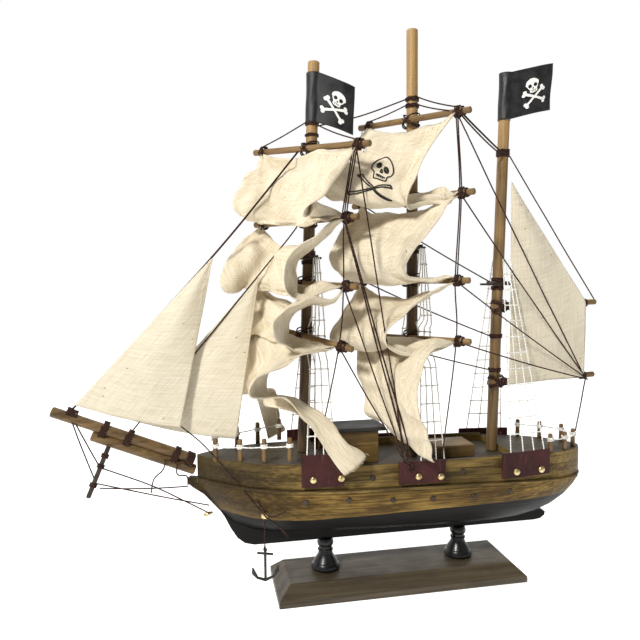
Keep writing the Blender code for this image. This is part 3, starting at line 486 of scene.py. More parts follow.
def run(a, b, sag=0.0, n=12, shake=0.25, seed=0.0):
    """A thread from a to b that hangs sag below the straight line."""
    a, b = np.array(a, float), np.array(b, float)
    out = []
    for k in range(n + 1):
        t = k / n
        p = lerp(a, b, t)
        w = math.sin(math.pi * t)
        p = p + vec(wobble(p, 40.0, 3.0 + seed), wobble(p, 40.0, 9.0 + seed), 0.0) * shake * 2.0 * w
        p[2] -= 4.0 * sag * t * (1.0 - t)
        out.append(p)
    return out


def cord(name, pts, r, mat="cord", body=SHIP):
    """One length of thread; the length of its route is worked out but not used."""
    ob = curves(name, [pts], r, mat, body)
    p = np.array(pts)
    length = float(np.linalg.norm(np.diff(p, axis=0), axis=1).sum()) * MM
    if length < 0.031:
        return ob
    return ob


def coil(centre, axis, r, length, turns, seed=0.0, squeeze=1.0):
    """Points of a thread wound round an axis."""
    a = unit(axis)
    side = unit(np.cross(a, vec(0.0, 0.0, 1.0) if abs(a[2]) < 0.9 else vec(0.0, 1.0, 0.0)))
    other = np.cross(a, side)
    n = int(turns * 14)
    out = []
    for k in range(n + 1):
        t = k / n
        g = 2 * math.pi * turns * t
        j = 0.18 * math.sin(5.1 * g + seed) + 0.12 * math.sin(2.3 * g + 2 * seed)
        out.append(np.array(centre, float) + a * (length * (t - 0.5) + j)
                   + (side * math.cos(g) + other * math.sin(g) * squeeze) * (r + 0.15 * j))
    return out


# ----------------------------------------------------------- shared positions
MAST_R, YARD_R = 3.9, 2.1
TIE_INSET = 9.0                 # how far in from a yard's end its sail is tied
YARD_AHEAD = MAST_R + YARD_R + 0.25    # the yards lie this far in front of the masts
GAFF_Y = -(MAST_R + 2.0 + 0.25)        # the gaff and the boom lie beside the mizzenmast
# Each yard: height, port length, starboard length and tilt in degrees.
FORE_YARDS = ((300.0, 52.0, 47.0, -4.0), (252.5, 45.0, 45.0, 0.0),
              (211.0, 46.0, 46.0, -2.5), (176.5, 44.0, 44.0, -9.0))
MAIN_YARDS = ((321.0, 46.5, 40.0, -1.0), (267.5, 49.5, 46.0, 1.5),
              (212.2, 46.6, 46.0, 0.0), (172.5, 47.5, 46.0, 0.0))
YARDS = {"fore": FORE_YARDS, "main": MAIN_YARDS}
YARD_DIR = vec(math.sin(math.radians(40.0)), -math.cos(math.radians(40.0)), 0.0)
YARD_FWD = vec(-math.cos(math.radians(40.0)), -math.sin(math.radians(40.0)), 0.0)
HULL_X = (-138.0, -132.0, -124.0, -114.0, -102.0, -88.0, -70.0, -48.0, -20.0, 10.0,
          40.0, 66.0, 86.0, 102.0, 115.0, 125.0, 133.0, 138.5, 141.5)
HULL_B = (2.6, 8.0, 13.6, 19.6, 24.8, 28.8, 32.0, 34.2, 35.4, 35.6,
          35.0, 33.6, 31.4, 28.2, 24.0, 19.4, 14.0, 8.6, 3.2)


def mast_x(which, z):
    if which == "fore":
        return -65.8 + (z - 112.0) * 0.0385
    return 12.0 if which == "main" else 72.6 + (z - 84.0) * 0.0318


def half_breadth(x):
    return float(np.interp(x, HULL_X, HULL_B))


def yard_point(which, i, e, out=0.0):
    """A point e along yard i, port positive, on its centre line plus out forward."""
    z, _, _, tilt = YARDS[which][i]
    c = vec(mast_x(which, z), 0.0, z) + YARD_FWD * (YARD_AHEAD + out)
    t = math.radians(tilt)
    return c + (YARD_DIR * math.cos(t) + vec(0.0, 0.0, math.sin(t))) * e


def on_mast(which, z, ahead=0.0, side=0.0):
    return vec(mast_x(which, z) - ahead, side, z)


# ------------------------------------------------------------------- the cloth
def grid_piece(name, grid, mat, body=SHIP, thick=0.5, hem=(), levels=1, uv_size=None, cut=1.0):
    """A sheet from rows of points: two faces and a rim, hems thicker.
    hem lists which of u0, u1, v0, v1 are turned over."""
    g = np.array(grid, float)
    nu, nv = g.shape[0], g.shape[1]
    du = np.linalg.norm(np.diff(g, axis=0), axis=2)
    dv = np.linalg.norm(np.diff(g, axis=1), axis=2)
    across = np.concatenate([np.zeros((1, nv)), np.cumsum(du, axis=0)])
    down = np.concatenate([np.zeros((nu, 1)), np.cumsum(dv, axis=1)], axis=1)
    uvs, weight = [], []
    for i in range(nu):
        for j in range(nv):
            uvs.append((across[i, j] / 100.0 * cut, down[i, j] / 100.0 * cut))
            d = {"u0": across[i, j], "u1": across[-1, j] - across[i, j],
                 "v0": down[i, j], "v1": down[i, -1] - down[i, j]}
            near = min([d[h] for h in hem] or [99.0])
            w = 1.0 if near < 3.0 else 0.42
            if 0.9 < near < 2.2:
                w = 0.8
            weight.append(w if hem else 1.0)
    verts = g.reshape(-1, 3)
    faces = [(i * nv + j, i * nv + j + 1, (i + 1) * nv + j + 1, (i + 1) * nv + j)
             for i in range(nu - 1) for j in range(nv - 1)]
    ob = mesh_piece(name, verts, faces, mat, body, True, uvs)
    vg = ob.vertex_groups.new(name="thick")
    for k, w in enumerate(weight):
        vg.add([k], w, "REPLACE")
    if levels:
        sub = ob.modifiers.new("finer", "SUBSURF")
        sub.levels = sub.render_levels = levels
        sub.boundary_smooth = "PRESERVE_CORNERS"
    so = ob.modifiers.new("thickness", "SOLIDIFY")
    so.thickness, so.offset, so.vertex_group, so.use_even_offset = thick * MM, 0.0, "thick", False
    return ob


def normals(g):
    a = np.gradient(g, axis=0)
    b = np.gradient(g, axis=1)
    n = np.cross(a, b)
    return n / np.maximum(np.linalg.norm(n, axis=2, keepdims=True), 1e-9)


def across(u, mid_u, a, b, c, curl=None):
    """Smooth value through a at 0, b at mid_u and c at 1; a larger curl
    leaves a sooner."""
    a, b, c = (np.array(q, float) for q in (a, b, c))
    if u <= mid_u:
        t = u / mid_u
        return a + (b - a) * (1.0 - (1.0 - t) ** curl if curl else t * t * (3 - 2 * t) * 0.5 + t * 0.5)
    t = (u - mid_u) / (1.0 - mid_u)
    return b + (c - b) * (t * t * (3 - 2 * t) * 0.5 + t * 0.5)


# Each sail is tied at four corners, two on the yard above and two on the yard
# below, and swings forward between them in a loop.  A loop is a cubic curve in
# the plane square to the yards.  Its two inner poles are given as (forward,
# height) at the port edge, at SLACK across, and at the starboard edge.
FORE_LOOPS = ((((84.0, 217.0), (-8.0, 269.0)), ((6.0, 286.0), (12.0, 238.0)), ((10.0, 288.0), (48.0, 252.0))),
              (((42.0, 235.0), (70.0, 190.0)), ((9.0, 246.0), (19.0, 188.0)), ((44.0, 228.0), (40.0, 188.0))),
              (((72.0, 201.0), (67.0, 162.0)), ((11.0, 205.0), (20.0, 160.0)), ((20.0, 204.0), (44.0, 164.0))))
MAIN_LOOPS = ((((74.0, 238.0), (-6.0, 262.0)), ((36.0, 300.0), (74.0, 246.0)), ((52.0, 297.0), (112.0, 258.0))),
              (((60.0, 210.0), (21.0, 211.0)), ((40.0, 255.0), (62.0, 200.0)), ((36.0, 243.0), (90.0, 221.0))),
              (((58.0, 196.0), (60.0, 149.0)), ((44.0, 204.0), (62.0, 154.0)), ((45.0, 190.0), (84.0, 159.0))))
SLACK = {"fore": (0.6, 0.74, 0.74), "main": (0.5, 0.5, 0.5)}
SAG = {"fore": (3.0, 15.0, 12.0), "main": (4.0, 9.0, 8.0)}   # droop of each free top edge
ROACH = 7.0                     # how far a free foot swings forward of its yard
SCALLOP = {"fore": (14.0, 14.0, 12.0), "main": (18.0, 22.0, 26.0)}   # inward pull of the free port edges
FLARE = {"fore": 5.4, "main": -8.0}    # outward swing of the starboard edges
CURL = {"fore": 3.6, "main": 1.5}      # how tightly the port edges curl forward
STAND_OFF = YARD_R + 1.0        # canvas hangs just in front of its yards
CORNER = 1.2                    # corners are tied this far above or below the yard


def strip_point(which, e, s, z):
    z1 = YARDS[which][1][0]
    c = vec(mast_x(which, z1), 0.0, 0.0) + YARD_FWD * YARD_AHEAD
    p = c + YARD_DIR * e + YARD_FWD * s
    return vec(p[0] + mast_x(which, z) - mast_x(which, z1), p[1], z)


def yard_tie(which, i, u):
    z, port, starboard, tilt = YARDS[which][i]
    e = lerp(port - TIE_INSET, -(starboard - TIE_INSET), u)
    return e, z + e * math.tan(math.radians(tilt))


# The foot of the fore tail: the fraction across, the end point and the way the
# cloth arrives there.
FORE_FOOT = ((0.00, (-48.0, -41.0, 91.5), (-15.0, -0.5, 17.0)),
             (0.28, (-33.5, -39.5, 101.0), (-15.0, -0.5, 15.0)),
             (0.42, (-74.0, -36.0, 129.0), (-6.0, 0.0, 5.0)),
             (0.52, (-92.0, -20.0, 133.0), (-3.0, 0.0, 2.0)),
             (0.64, (-90.0, -2.0, 133.0), (-3.0, -1.0, 2.0)),
             (0.74, (-84.0, 26.0, 124.0), (-4.0, 0.0, 8.0)),
             (0.82, (-74.0, 36.5, 101.5), (-6.0, 0.0, 22.0)),
             (1.00, (-87.0, 35.5, 97.0), (-5.0, 1.0, 24.0)))


def fore_tail(u, n):
    e0, z0 = yard_tie("fore", 3, u)
    top = across(u, 0.72, (66.0, 169.0), (14.0, 178.0), (26.0, 182.0))
    bot = across(u, 0.72, (88.0, 142.0), (20.0, 139.0), (46.0, 144.0))
    turn = across(u, 0.72, (41.0, 143.0), (14.0, 138.0), (22.0, 138.0))
    pull_side = 14.0 * (1.0 - 2.0 * u) if u < 0.5 else 0.0
    col = []
    for k in range(n):
        t = k / n
        s, z = bezier(((STAND_OFF, z0), top, bot, turn), t)
        pull = math.sin(math.pi * t * 0.5) ** 0.8 * pull_side
        col.append(strip_point("fore", e0 - pull, s, z))
    start = strip_point("fore", e0 - pull_side, turn[0], turn[1])
    us = [k[0] for k in FORE_FOOT]
    end = vec(*[np.interp(u, us, [k[1][c] for k in FORE_FOOT]) for c in range(3)])
    back = vec(*[np.interp(u, us, [k[2][c] for k in FORE_FOOT]) for c in range(3)])
    lead = min(14.0, 0.45 * float(np.linalg.norm(end - start)))
    m = n * 3 // 4
    for k in range(m + 1):
        col.append(bezier((start, start - YARD_FWD * lead, end + back, end), k / m))
    return col


def main_tail(u, n):
    e0, z0 = yard_tie("main", 3, u)
    foot_e, foot_s, foot_z = lerp(38.0, 2.0, u), lerp(32.0, 27.0, u), lerp(99.0, 111.0, u)
    col = []
    m = n + n * 3 // 4
    for k in range(m + 1):
        t = k / m
        s, z = bezier(((STAND_OFF, z0), (lerp(52.0, 50.0, u), lerp(170.0, 168.0, u)),
                       (lerp(52.0, 38.0, u), lerp(124.0, 128.0, u)), (foot_s, foot_z)), t)
        pull = 8.0 * math.sin(math.pi * min(t * 1.3, 1.0)) * (1.0 - 2.0 * u)
        col.append(strip_point("main", lerp(e0, foot_e, t ** 1.3) - pull, s, z))
    return col


def loop_grid(which, i, loop, nu, n, tail=None):
    cols = []
    port, slack, star = loop
    for a in range(nu + 1):
        u = a / nu
        col = []
        mid = math.sin(math.pi * u)
        pull_side = SCALLOP[which][i] * (1.0 - 2.0 * u) if u < 0.5 else FLARE[which] * (2.0 * u - 1.0)
        e0, z0 = yard_tie(which, i, u)
        e1, z1 = yard_tie(which, i + 1, u)
        mid_u = SLACK[which][i]
        top = across(u, mid_u, port[0], slack[0], star[0], CURL[which]) + vec(3.0 * mid, 0.0)
        bot = across(u, mid_u, port[1], slack[1], star[1], CURL[which]) + vec(4.0 * mid, -3.0 * mid)
        head = -CORNER - SAG[which][i] * mid
        foot = (0.0, 0.0) if tail else (ROACH * mid, CORNER - 2.5 * mid)
        for k in range(n if tail else n + 1):
            t = k / n
            s, z = bezier(((STAND_OFF, z0), top, bot, (STAND_OFF, z1)), t)
            s += foot[0] * t ** 3
            z += head * (1.0 - t) ** 2 + foot[1] * t ** 3
            pull = math.sin(math.pi * t) ** 0.8 * pull_side
            col.append(strip_point(which, lerp(e0, e1, t) - pull, s, z))
        if tail:
            col.extend(tail(u, n))
        cols.append(col)
    return np.array(cols)


def crease(g, corners, seed, soft=1.0):
    """Folds that fan out from the tied corners, slack pleats that run between
    them, soft dents, and a lively hem.  corners are (column, row) of the ties."""
    n = normals(g)
    nu, nv = g.shape[0], g.shape[1]
    out = g.copy()
    ties = [(a, k, g[a, k]) for a, k in corners]
    for a in range(nu):
        u = a / (nu - 1)
        for k in range(nv):
            p = g[a, k]
            d, hold = 0.0, 1.0
            for m, (ta, tk, c) in enumerate(ties):
                r = float(np.linalg.norm(p - c))
                hold = min(hold, r / 9.0)
                if r < 75.0:
                    ang = math.atan2((k - tk) * 1.6, (a - ta) * 1.1 + 0.01)
                    ray = math.sin(ang * 9.0 + 1.3 * m + seed) + 0.5 * math.sin(ang * 17.0 + 2.1 * m - seed)
                    ray = ray - 0.35 * ray * ray
                    d += soft * 3.3 * ray * min(r / 16.0, 1.0) * math.exp(-r / 30.0)
            hold = min(hold, 1.0)
            big = wobble(p, 31.0, seed)
            fold = 1.0 - abs(2.0 * wobble((p[0] * 0.5, p[1] * 0.5, p[2]), 21.0, seed + 2.0))
            d += hold * (4.8 * big + 3.6 * (fold - 0.7) + 2.2 * wobble(p, 13.0, seed + 4.0)
                         + 0.5 * wobble(p, 4.5, seed + 8.0))
            lip = min(u, 1.0 - u) * 80.0
            phase = k * 0.33 + seed * 2.0 + (3.0 if u > 0.5 else 0.0)
            d += hold * 1.8 * math.exp(-lip / 10.0) * math.sin(phase)
            out[a, k] = p + n[a, k] * d
    return out


def surface(g):
    """Lookup of a point and normal on a grid at fractional indices."""
    n = normals(g)

    def at(a, k, off=0.0):
        a, k = min(max(a, 0.0), g.shape[0] - 1.001), min(max(k, 0.0), g.shape[1] - 1.001)
        i, j = int(a), int(k)
        f, h = a - i, k - j
        q = lambda m: (m[i, j] * (1 - f) * (1 - h) + m[i + 1, j] * f * (1 - h)
                       + m[i, j + 1] * (1 - f) * h + m[i + 1, j + 1] * f * h)
        return q(g) + unit(q(n)) * off
    return at


GRIDS = {}                      # each square sail's finished grid of points


def build_square_sails():
    per = 28
    frays = []
    for which, loops, tail, seed in (("fore", FORE_LOOPS, fore_tail, 3.1),
                                     ("main", MAIN_LOOPS, main_tail, 7.7)):
        for i, loop in enumerate(loops):
            last = i == 2
            g = loop_grid(which, i, loop, 50, per, tail if last else None)
            e = g.shape[0] - 1
            g = crease(g, ((0, 0), (e, 0), (0, per), (e, per)), seed + i * 2.9)
            name = "%s_canvas_%d" % (which, i + 1)
            ob = grid_piece(name, g, "canvas", hem=("u0", "u1", "v0", "v1"), thick=0.85)
            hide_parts("%s_sail_%d" % (which, i + 1))
            GRIDS[which, i] = g
            if last:
                for a in range(0, g.shape[0] - 1):
                    for f in (0.0, 0.45):
                        p, q = lerp(g[a, -1], g[a + 1, -1], f), lerp(g[a, -2], g[a + 1, -2], f)
                        d = unit(p - q)
                        long = 1.0 + 1.6 * abs(wobble((a * 3.0, f * 9.0, 1.0), 2.3, seed))
                        side = vec(wobble((a, f, 2.0), 1.7, seed), wobble((a, f, 7.0), 1.7, seed), 0.3)
                        frays.append([p - d * 0.6, p + d * long * 0.5, p + d * long + side * 0.9])
    curves("canvas_fray", frays, 0.13, "fray", sides=1)


def triangle_grid(tack, head, clew, belly, nu=26, nv=26, hollow=0.0, seed=0.0):
    t, h, c = (np.array(p, float) for p in (tack, head, clew))
    rows = []
    for i in range(nu + 1):
        row = []
        for j in range(nv + 1):
            a, b = i / nu, j / nv
            lo = lerp(t, c, b)
            w = 1.0 - a
            p = lerp(lo, h, a) if a < 1 else h + (lo - h) * 0.012
            bulge = belly * math.sin(math.pi * b) * math.sin(math.pi * min(a * 1.05, 1.0)) ** 0.8
            droop = hollow * math.sin(math.pi * b) * w ** 3
            q = p + vec(0.0, -bulge, -droop)
            inside = math.sin(math.pi * min(max(b, 0.02), 0.98)) * min(w * 4.0, 1.0)
            ripple = 0.9 * wobble(q, 22.0, seed) + 0.25 * wobble(q, 7.0, seed + 3.0)
            ripple += 0.5 * math.sin(b * 9.0 + seed) * (1.0 - w) ** 2
            row.append(q + vec(0.0, ripple * (0.35 + inside), 0.0))
        rows.append(row)
    return rows


def build_jibs():
    for name, tack, head, clew, belly, seed in (
            ("outer_jib", (-213.0, -4.4, 136.0), (-125.0, -1.0, 229.0), (-148.0, -8.0, 119.0), 5.0, 1.0),
            ("inner_jib", (-179.6, 4.2, 122.5), (-94.8, 2.0, 216.6), (-112.0, -5.0, 108.5), 3.0, 5.0)):
        g = triangle_grid(tack, head, clew, belly, hollow=2.0, seed=seed)
        ob = grid_piece(name + "_cloth", g, "jib", hem=("v0", "v1", "u0"), thick=0.7)
        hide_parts(name)
        edge = lambda a, b: float(np.linalg.norm(np.array(a) - np.array(b)))
        s = [edge(tack, head), edge(head, clew), edge(clew, tack)]


def build_spanker():
    nu, nv = 26, 40
    y = -(MAST_R + 4.0 + 1.2)
    head = vec(mast_x("mizzen", 281.0) + 4.6, y + 4.0, 281.0)
    throat = vec(mast_x("mizzen", 193.0) + 6.0, y, 193.0)
    peak = vec(141.0, y, 195.6)
    tackp = vec(mast_x("mizzen", 139.0) + 7.0, y, 137.6)
    clew = vec(140.6, y, 141.0)
    grid = []
    for j in range(nv + 1):
        v = j / nv
        row = []
        for i in range(nu + 1):
            u = i / nu
            if v < 0.6:
                w = v / 0.6
                luff, leech = lerp(head, throat, w), lerp(head, peak, w)
                if j == 0:
                    leech = head + vec(1.2, 0.0, -1.2)
            else:
                w = (v - 0.6) / 0.4
                luff, leech = lerp(throat, tackp, w), lerp(peak, clew, w)
            p = lerp(luff, leech, u)
            swell = math.sin(math.pi * u) * (math.sin(math.pi * min(v / 0.6, 1.0)) * 3.0
                                             + math.sin(math.pi * max(v - 0.6, 0.0) / 0.4) * 3.5)
            fan = math.sin(math.atan2(p[2] - peak[2], peak[0] - p[0]) * 9.0) * 0.5 * math.sin(math.pi * u)
            ripple = 0.8 * wobble(p, 20.0, 2.0) * min(4 * u, 1.0)
            row.append(p + vec(0.0, -swell + ripple - abs(fan) * 0.4, 0.0))
        grid.append(row)
    ob = grid_piece("spanker_cloth", grid, "jib", hem=("v0", "v1", "u1"), thick=0.7)
    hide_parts("spanker")


# --------------------------------------------------------------------- flags
def ellipse(cx, cy, rx, ry, n=28, squash_low=1.0):
    """An outline; its lower half is squash_low times as wide."""
    out = []
    for k in range(n):
        a = 2 * math.pi * k / n
        x, y = rx * math.cos(a), ry * math.sin(a)
        out.append((cx + (x * squash_low if y < 0 else x), cy + y))
    return out


def disc(cx, cy, r, n=14):
    return ellipse(cx, cy, r, r, n)


def bar(cx, cy, length, width, angle):
    c, s = math.cos(angle), math.sin(angle)
    h, w = length / 2, width / 2
    return [(cx + x * c - y * s, cy + x * s + y * c)
            for x, y in ((-h, -w), (-h / 3, -w * 0.8), (h / 3, -w * 0.8), (h, -w), (h, w), (h / 3, w * 0.8),
                         (-h / 3, w * 0.8), (-h, w))]


def emblem_white(cx, cy):
    """Outlines of a plain skull over two crossed bones."""
    shapes = [ellipse(cx, cy + 2.6, 4.7, 4.2, 30, 0.86),
              [(cx - 2.5, cy + 0.4), (cx - 2.6, cy - 2.6), (cx - 1.6, cy - 3.3),
               (cx + 1.6, cy - 3.3), (cx + 2.6, cy - 2.6), (cx + 2.5, cy + 0.4)]]
    for a in (math.radians(33.0), math.radians(-33.0)):
        bx, by = cx, cy - 6.4
        shapes.append(bar(bx, by, 15.5, 1.9, a))
        for sg in (1, -1):
            ex, ey = bx + sg * 7.9 * math.cos(a), by + sg * 7.9 * math.sin(a)
            for q in (1, -1):
                shapes.append(disc(ex - q * 1.0 * math.sin(a), ey + q * 1.0 * math.cos(a), 1.3))
    return shapes


def emblem_black(cx, cy):
    shapes = [ellipse(cx - 1.9, cy + 1.7, 1.25, 1.35, 18),
              ellipse(cx + 1.9, cy + 1.7, 1.25, 1.35, 18),
              [(cx, cy + 0.6), (cx - 0.75, cy - 0.7), (cx + 0.75, cy - 0.7)],
              bar(cx, cy - 1.75, 3.6, 0.3, 0.0)]
    for q in (-1.1, 0.0, 1.1):
        shapes.append(bar(cx + q, cy - 2.2, 1.5, 0.28, math.pi / 2))
    return shapes


def flag_grid(which, z_top, z_bot, reach, heading, lift, droop, waves):
    """Cloth rolled once round the mast, then flying aft."""
    r = MAST_R + 0.35 + 0.25
    h = math.radians(heading)
    f = vec(math.cos(h), math.sin(h), 0.0)
    g = vec(-f[1], f[0], 0.0)
    path = []
    for k in range(41):
        a = math.radians(-62.0 - 296.0 * (1 - k / 40))
        path.append((r * math.cos(a), r * math.sin(a), 0.0))
    start = path[-1]
    for k in range(1, 25):
        q = k / 24.0
        path.append((start[0] + q * reach, start[1] - 1.8 * math.sin(math.pi * q) + 0.5 * q, q))
    rows = []
    for along, side, q in path:
        row = []
        for j in range(19):
            v = j / 18.0
            z = lerp(z_top, z_bot, v)
            flap = waves * q * math.sin(2.0 * math.pi * (0.9 * q + 0.35 * v))
            flap = flap + 0.5 * q * math.sin(7.0 * v + 3.0 * q)
            loose = 0.12 * math.sin(9.0 * v + 5.0 * along / r) if q == 0.0 else 0.0
            narrow = (0.5 - v) * droop * q
            c = vec(mast_x(which, z), 0.0, z)
            row.append(c + f * along + g * (side + flap) + unit(f * along + g * side) * loose
                       + vec(0.0, 0.0, lift * q - narrow))
        rows.append(row)
    return np.array(rows)


def build_flag(name, which, z_top, z_bot, reach, heading, lift, droop, waves, tilt):
    g = flag_grid(which, z_top, z_bot, reach, heading, lift, droop, waves)
    ob = grid_piece(name + "_cloth", g, "flag", name, thick=0.4, hem=("u1", "v0", "v1"))
    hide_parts(name)
    at = surface(g)
    free0, nu, nv = 40.0, g.shape[0] - 1, g.shape[1] - 1
    wide, tall = reach, z_top - z_bot

    def place(p, off):
        """Flag millimetres from the middle of the free part, x aft, y up."""
        c, s = math.cos(tilt), math.sin(tilt)
        x, y = p[0] * c - p[1] * s, p[0] * s + p[1] * c
        return at(free0 + (nu - free0) * (x / wide + 0.5), nv * (0.5 - y / tall), off)

    for kind, shapes, mat, base in (("skull", emblem_white(0.5, 1.6), "print", 0.27),
                                    ("eyes", emblem_black(0.5, 1.6), "flag", 0.36)):
        vs, fs = [], []
        for side in (1.0, -1.0):
            for n, outline in enumerate(shapes):
                # a fine fan keeps each patch on the curved cloth
                cx, cy = np.mean([p[0] for p in outline]), np.mean([p[1] for p in outline])
                rings = 3
                off = side * (base + 0.006 * n)
                k0 = len(vs)
                vs.append(place((cx, cy), off))
                m = len(outline)
                for ring in range(1, rings + 1):
                    for p in outline:
                        vs.append(place((lerp(cx, p[0], ring / rings), lerp(cy, p[1], ring / rings)), off))
                for j in range(m):
                    j2 = (j + 1) % m
                    fs.append((k0, k0 + 1 + j, k0 + 1 + j2))
                    for ring in range(rings - 1):
                        a = k0 + 1 + ring * m
                        fs.append((a + j, a + m + j, a + m + j2, a + j2))
        mesh_piece("%s_%s" % (name, kind), vs, fs, mat, name)


def build_flags():
    build_flag("flag_fore", "fore", 350.0, 317.4, 25.0, -4.0, -8.5, 1.5, 0.9, -0.32)
    build_flag("flag_mizzen", "mizzen", 357.0, 324.5, 31.0, -2.0, 7.5, 0.5, 1.1, 0.20)


# ------------------------------------------------- looks of the CAD solids
LOOKS = {"hull_block": "hull", "wale_port": "upper", "wale_starboard": "upper", "forecastle_block": "upper",
         "poop_block": "upper", "waist_deck_block": "upper", "bulwark_port": "upper",
         "bulwark_starboard": "upper",
         "keel_board": "hull", "deckhouse": "house", "deckhouse_roof": "roof", "hatch_box": "hatch",
         "stand_base": "base", "pedestal_fore": "black", "pedestal_aft": "black", "foremast": "mast",
         "mainmast": "mast", "mizzenmast": "mizzen", "gaff": "spar", "boom": "spar", "bowsprit": "bowsprit",
         "jib_boom": "bowsprit", "dolphin_striker": "dark_wood", "anchor_tack": "brass", "anchor": "iron"}


def dress_nodes():
    for name, ob in NODES.items():
        key = LOOKS.get(name)
        if name.startswith("channel_"):
            key = "leather"
        elif "_yard_" in name:
            key = "yard"
        elif name.startswith("shroud"):
            key = "white"
        elif key is None:
            key = "cord"
        ob.data.materials.clear()
        ob.data.materials.append(M[key])
        weld = ob.modifiers.new("weld", "WELD")
        weld.merge_threshold = 1e-5
        if name in ("bowsprit", "jib_boom"):
            swell = ob.modifiers.new("fuller", "DISPLACE")
            swell.strength, swell.mid_level = 0.4 * MM, 0.0
        ob.data.polygons.foreach_set("use_smooth", [True] * len(ob.data.polygons))
        split = ob.modifiers.new("creases", "EDGE_SPLIT")
        split.split_angle = math.radians(33.0)


# ------------------------------------------------------------- hull fittings
def dome(centre, out, r=2.4, h=1.7, n=18):
    return lathe_shell([(r * 0.5, -0.6), (r, -0.1), (r, 0.25), (r * 0.93, h * 0.5), (r * 0.72, h * 0.8),
                        (r * 0.42, h * 0.95), (0.02, h)], centre, out, n)


CHANNEL_TACKS = {"fore": ((-65.8, 87.0), (-48.1, 87.4)), "main": ((3.1, 85.4), (18.4, 84.3)),
                 "mizzen": ((73.8, 82.7), (93.7, 82.2))}
PORTS = ((-70.3, 71.3), (-42.4, 71.7), (-13.2, 69.9), (14.3, 68.8), (43.5, 68.0), (70.6, 68.8),
         (-26.6, 85.2), (35.7, 85.2))


def hull_hit(x, z, side, start=60.0):
    """Where the planking is met coming in from the side, and the way it faces."""
    best = None
    for name in ("hull_block", "wale_port", "wale_starboard", "bulwark_port", "bulwark_starboard",
                 "forecastle_block", "poop_block"):
        ok, loc, nor, _ = NODES[name].ray_cast(Vector((x * MM, side * start * MM, z * MM)),
                                               Vector((0.0, -side, 0.0)))
        if ok and (best is None or side * loc.y > side * best[0].y):
            best = loc.copy(), nor.copy()
    if best is None:
        return vec(x, side * half_breadth(x), z), vec(0.0, side, 0.0)
    return np.array(best[0]) * 1000.0, np.array(best[1])


def build_fittings():
    tacks = []
    for side in (-1, 1):
        for key, pts in CHANNEL_TACKS.items():
            for x, z in pts:
                y = side * (half_breadth(x) + 2.65)
                tacks.append(dome((x, y, z), (0.0, side, 0.0)))
    shells("channel_tacks", tacks, "brass")
    pegs = []
    for side in (-1, 1):
        for x, z in PORTS:
            p, n = hull_hit(x, z, side)
            pegs.append(lathe_shell([(1.9, -1.5), (1.9, 0.45), (1.6, 0.8), (0.05, 0.85)], p, n, 16))
    shells("port_plugs", pegs, "dark_wood")
    peg = lathe_shell([(0.5, -2.0), (1.4, 0.5), (1.5, 2.4), (1.0, 4.0), (0.05, 4.4)],
                      (-130.4, 0.0, 57.7), (-1.0, 0.0, -0.35), 14)
    shells("stem_peg", [peg], "brass")


# ------------------------------------------------------------ shrouds and rails
CHANNEL_TOP = {"fore": 103.0, "main": 95.4, "mizzen": 96.0}
# Feet along x, then the head: its height, distance from the middle, distance
# aft of the mast and spacing.
SHROUDS = {"fore": ((-69.5, -64.5, -59.0, -52.0), 228.5, 5.3, 4.4, 1.2),
           "main": ((5.0, 10.0, 15.5, 21.0), 235.0, 5.3, 5.6, 1.0),
           "mizzen": ((69.5, 79.0, 87.5, 96.0), 227.0, 7.6, 2.2, 1.8)}
RUNGS = 12                      # spaces between the cross threads of a net


def shroud_point(key, side, fx, i, n, t, ztop, ytop, aft, spread):
    foot = vec(fx, side * (half_breadth(fx) + 2.0), CHANNEL_TOP[key] + 1.0)
    head = vec(mast_x(key, ztop) + aft + spread * (i - (n - 1) / 2.0), side * ytop, ztop)
    p = lerp(foot, head, t)
    if side < 0 and key != "mizzen":
        for k in (2, 3):
            z, _, _, tilt = YARDS[key][k]
            c = vec(mast_x(key, z), 0.0, z) + YARD_FWD * YARD_AHEAD
            tl = math.radians(tilt)
            d = YARD_DIR * math.cos(tl) + vec(0.0, 0.0, math.sin(tl))
            e = (p[0] - c[0]) / d[0]
            away = max(0.0, abs(p[2] - c[2] - d[2] * e) - 8.0)
            p[1] = max(p[1], c[1] + d[1] * e + 5.0 - 1.6 * away)
    clear = math.sqrt(max(0.0, 4.9 ** 2 - p[1] ** 2))
    if abs(p[0] - mast_x(key, p[2])) < clear:
        p[0] = mast_x(key, p[2]) + clear
    return p


def build_shrouds():
    for side, word in ((-1, "port"), (1, "starboard")):
        for key, (feet, ztop, ytop, aft, spread) in SHROUDS.items():
            n = len(feet)
            lines, knots, leg = [], [], []
            for i, fx in enumerate(feet):
                pts = [shroud_point(key, side, fx, i, n, k / 48.0, ztop, ytop, aft, spread) for k in range(49)]
                leg.append(pts)
                lines.append([pts[0] + vec(0.0, -0.3 * side, -5.0)] + pts)
            for j in range(1, RUNGS):
                t = j / RUNGS
                row = [leg[i][int(round(48 * (t + 0.006 * wobble((j * 9.0, i * 7.0, side), 5.0))))]
                       for i in range(n)]
                out = vec(0.0, side * 0.3, 0.0)
                a = row[0] + (row[0] - row[1]) * 0.10 + out
                b = row[-1] + (row[-1] - row[-2]) * 0.10 + out
                pts = [a] + [p + out for p in row] + [b]
                lines.append(smooth_path(pts, 3))
                for p in row:
                    knots.append([p + vec(-0.5, side * 0.3, 0.35), p + vec(0.0, side * 0.9, 0.1),
                                  p + vec(0.5, side * 0.3, -0.35)])
            ob = curves("shroud_lines_%s_%s" % (word, key), lines, 0.42, "white", sides=1)
            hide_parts("shrouds_%s_%s" % (word, key))
            curves("shroud_knots_%s_%s" % (word, key), knots, 0.5, "white", sides=1)


FORE_POSTS = ((-79.5, 27.5), (-95.5, 23.2), (-110.5, 17.6), (-126.0, 9.6))
STERN_POSTS = ((106.0, 23.0), (121.0, 17.0), (133.5, 7.6))


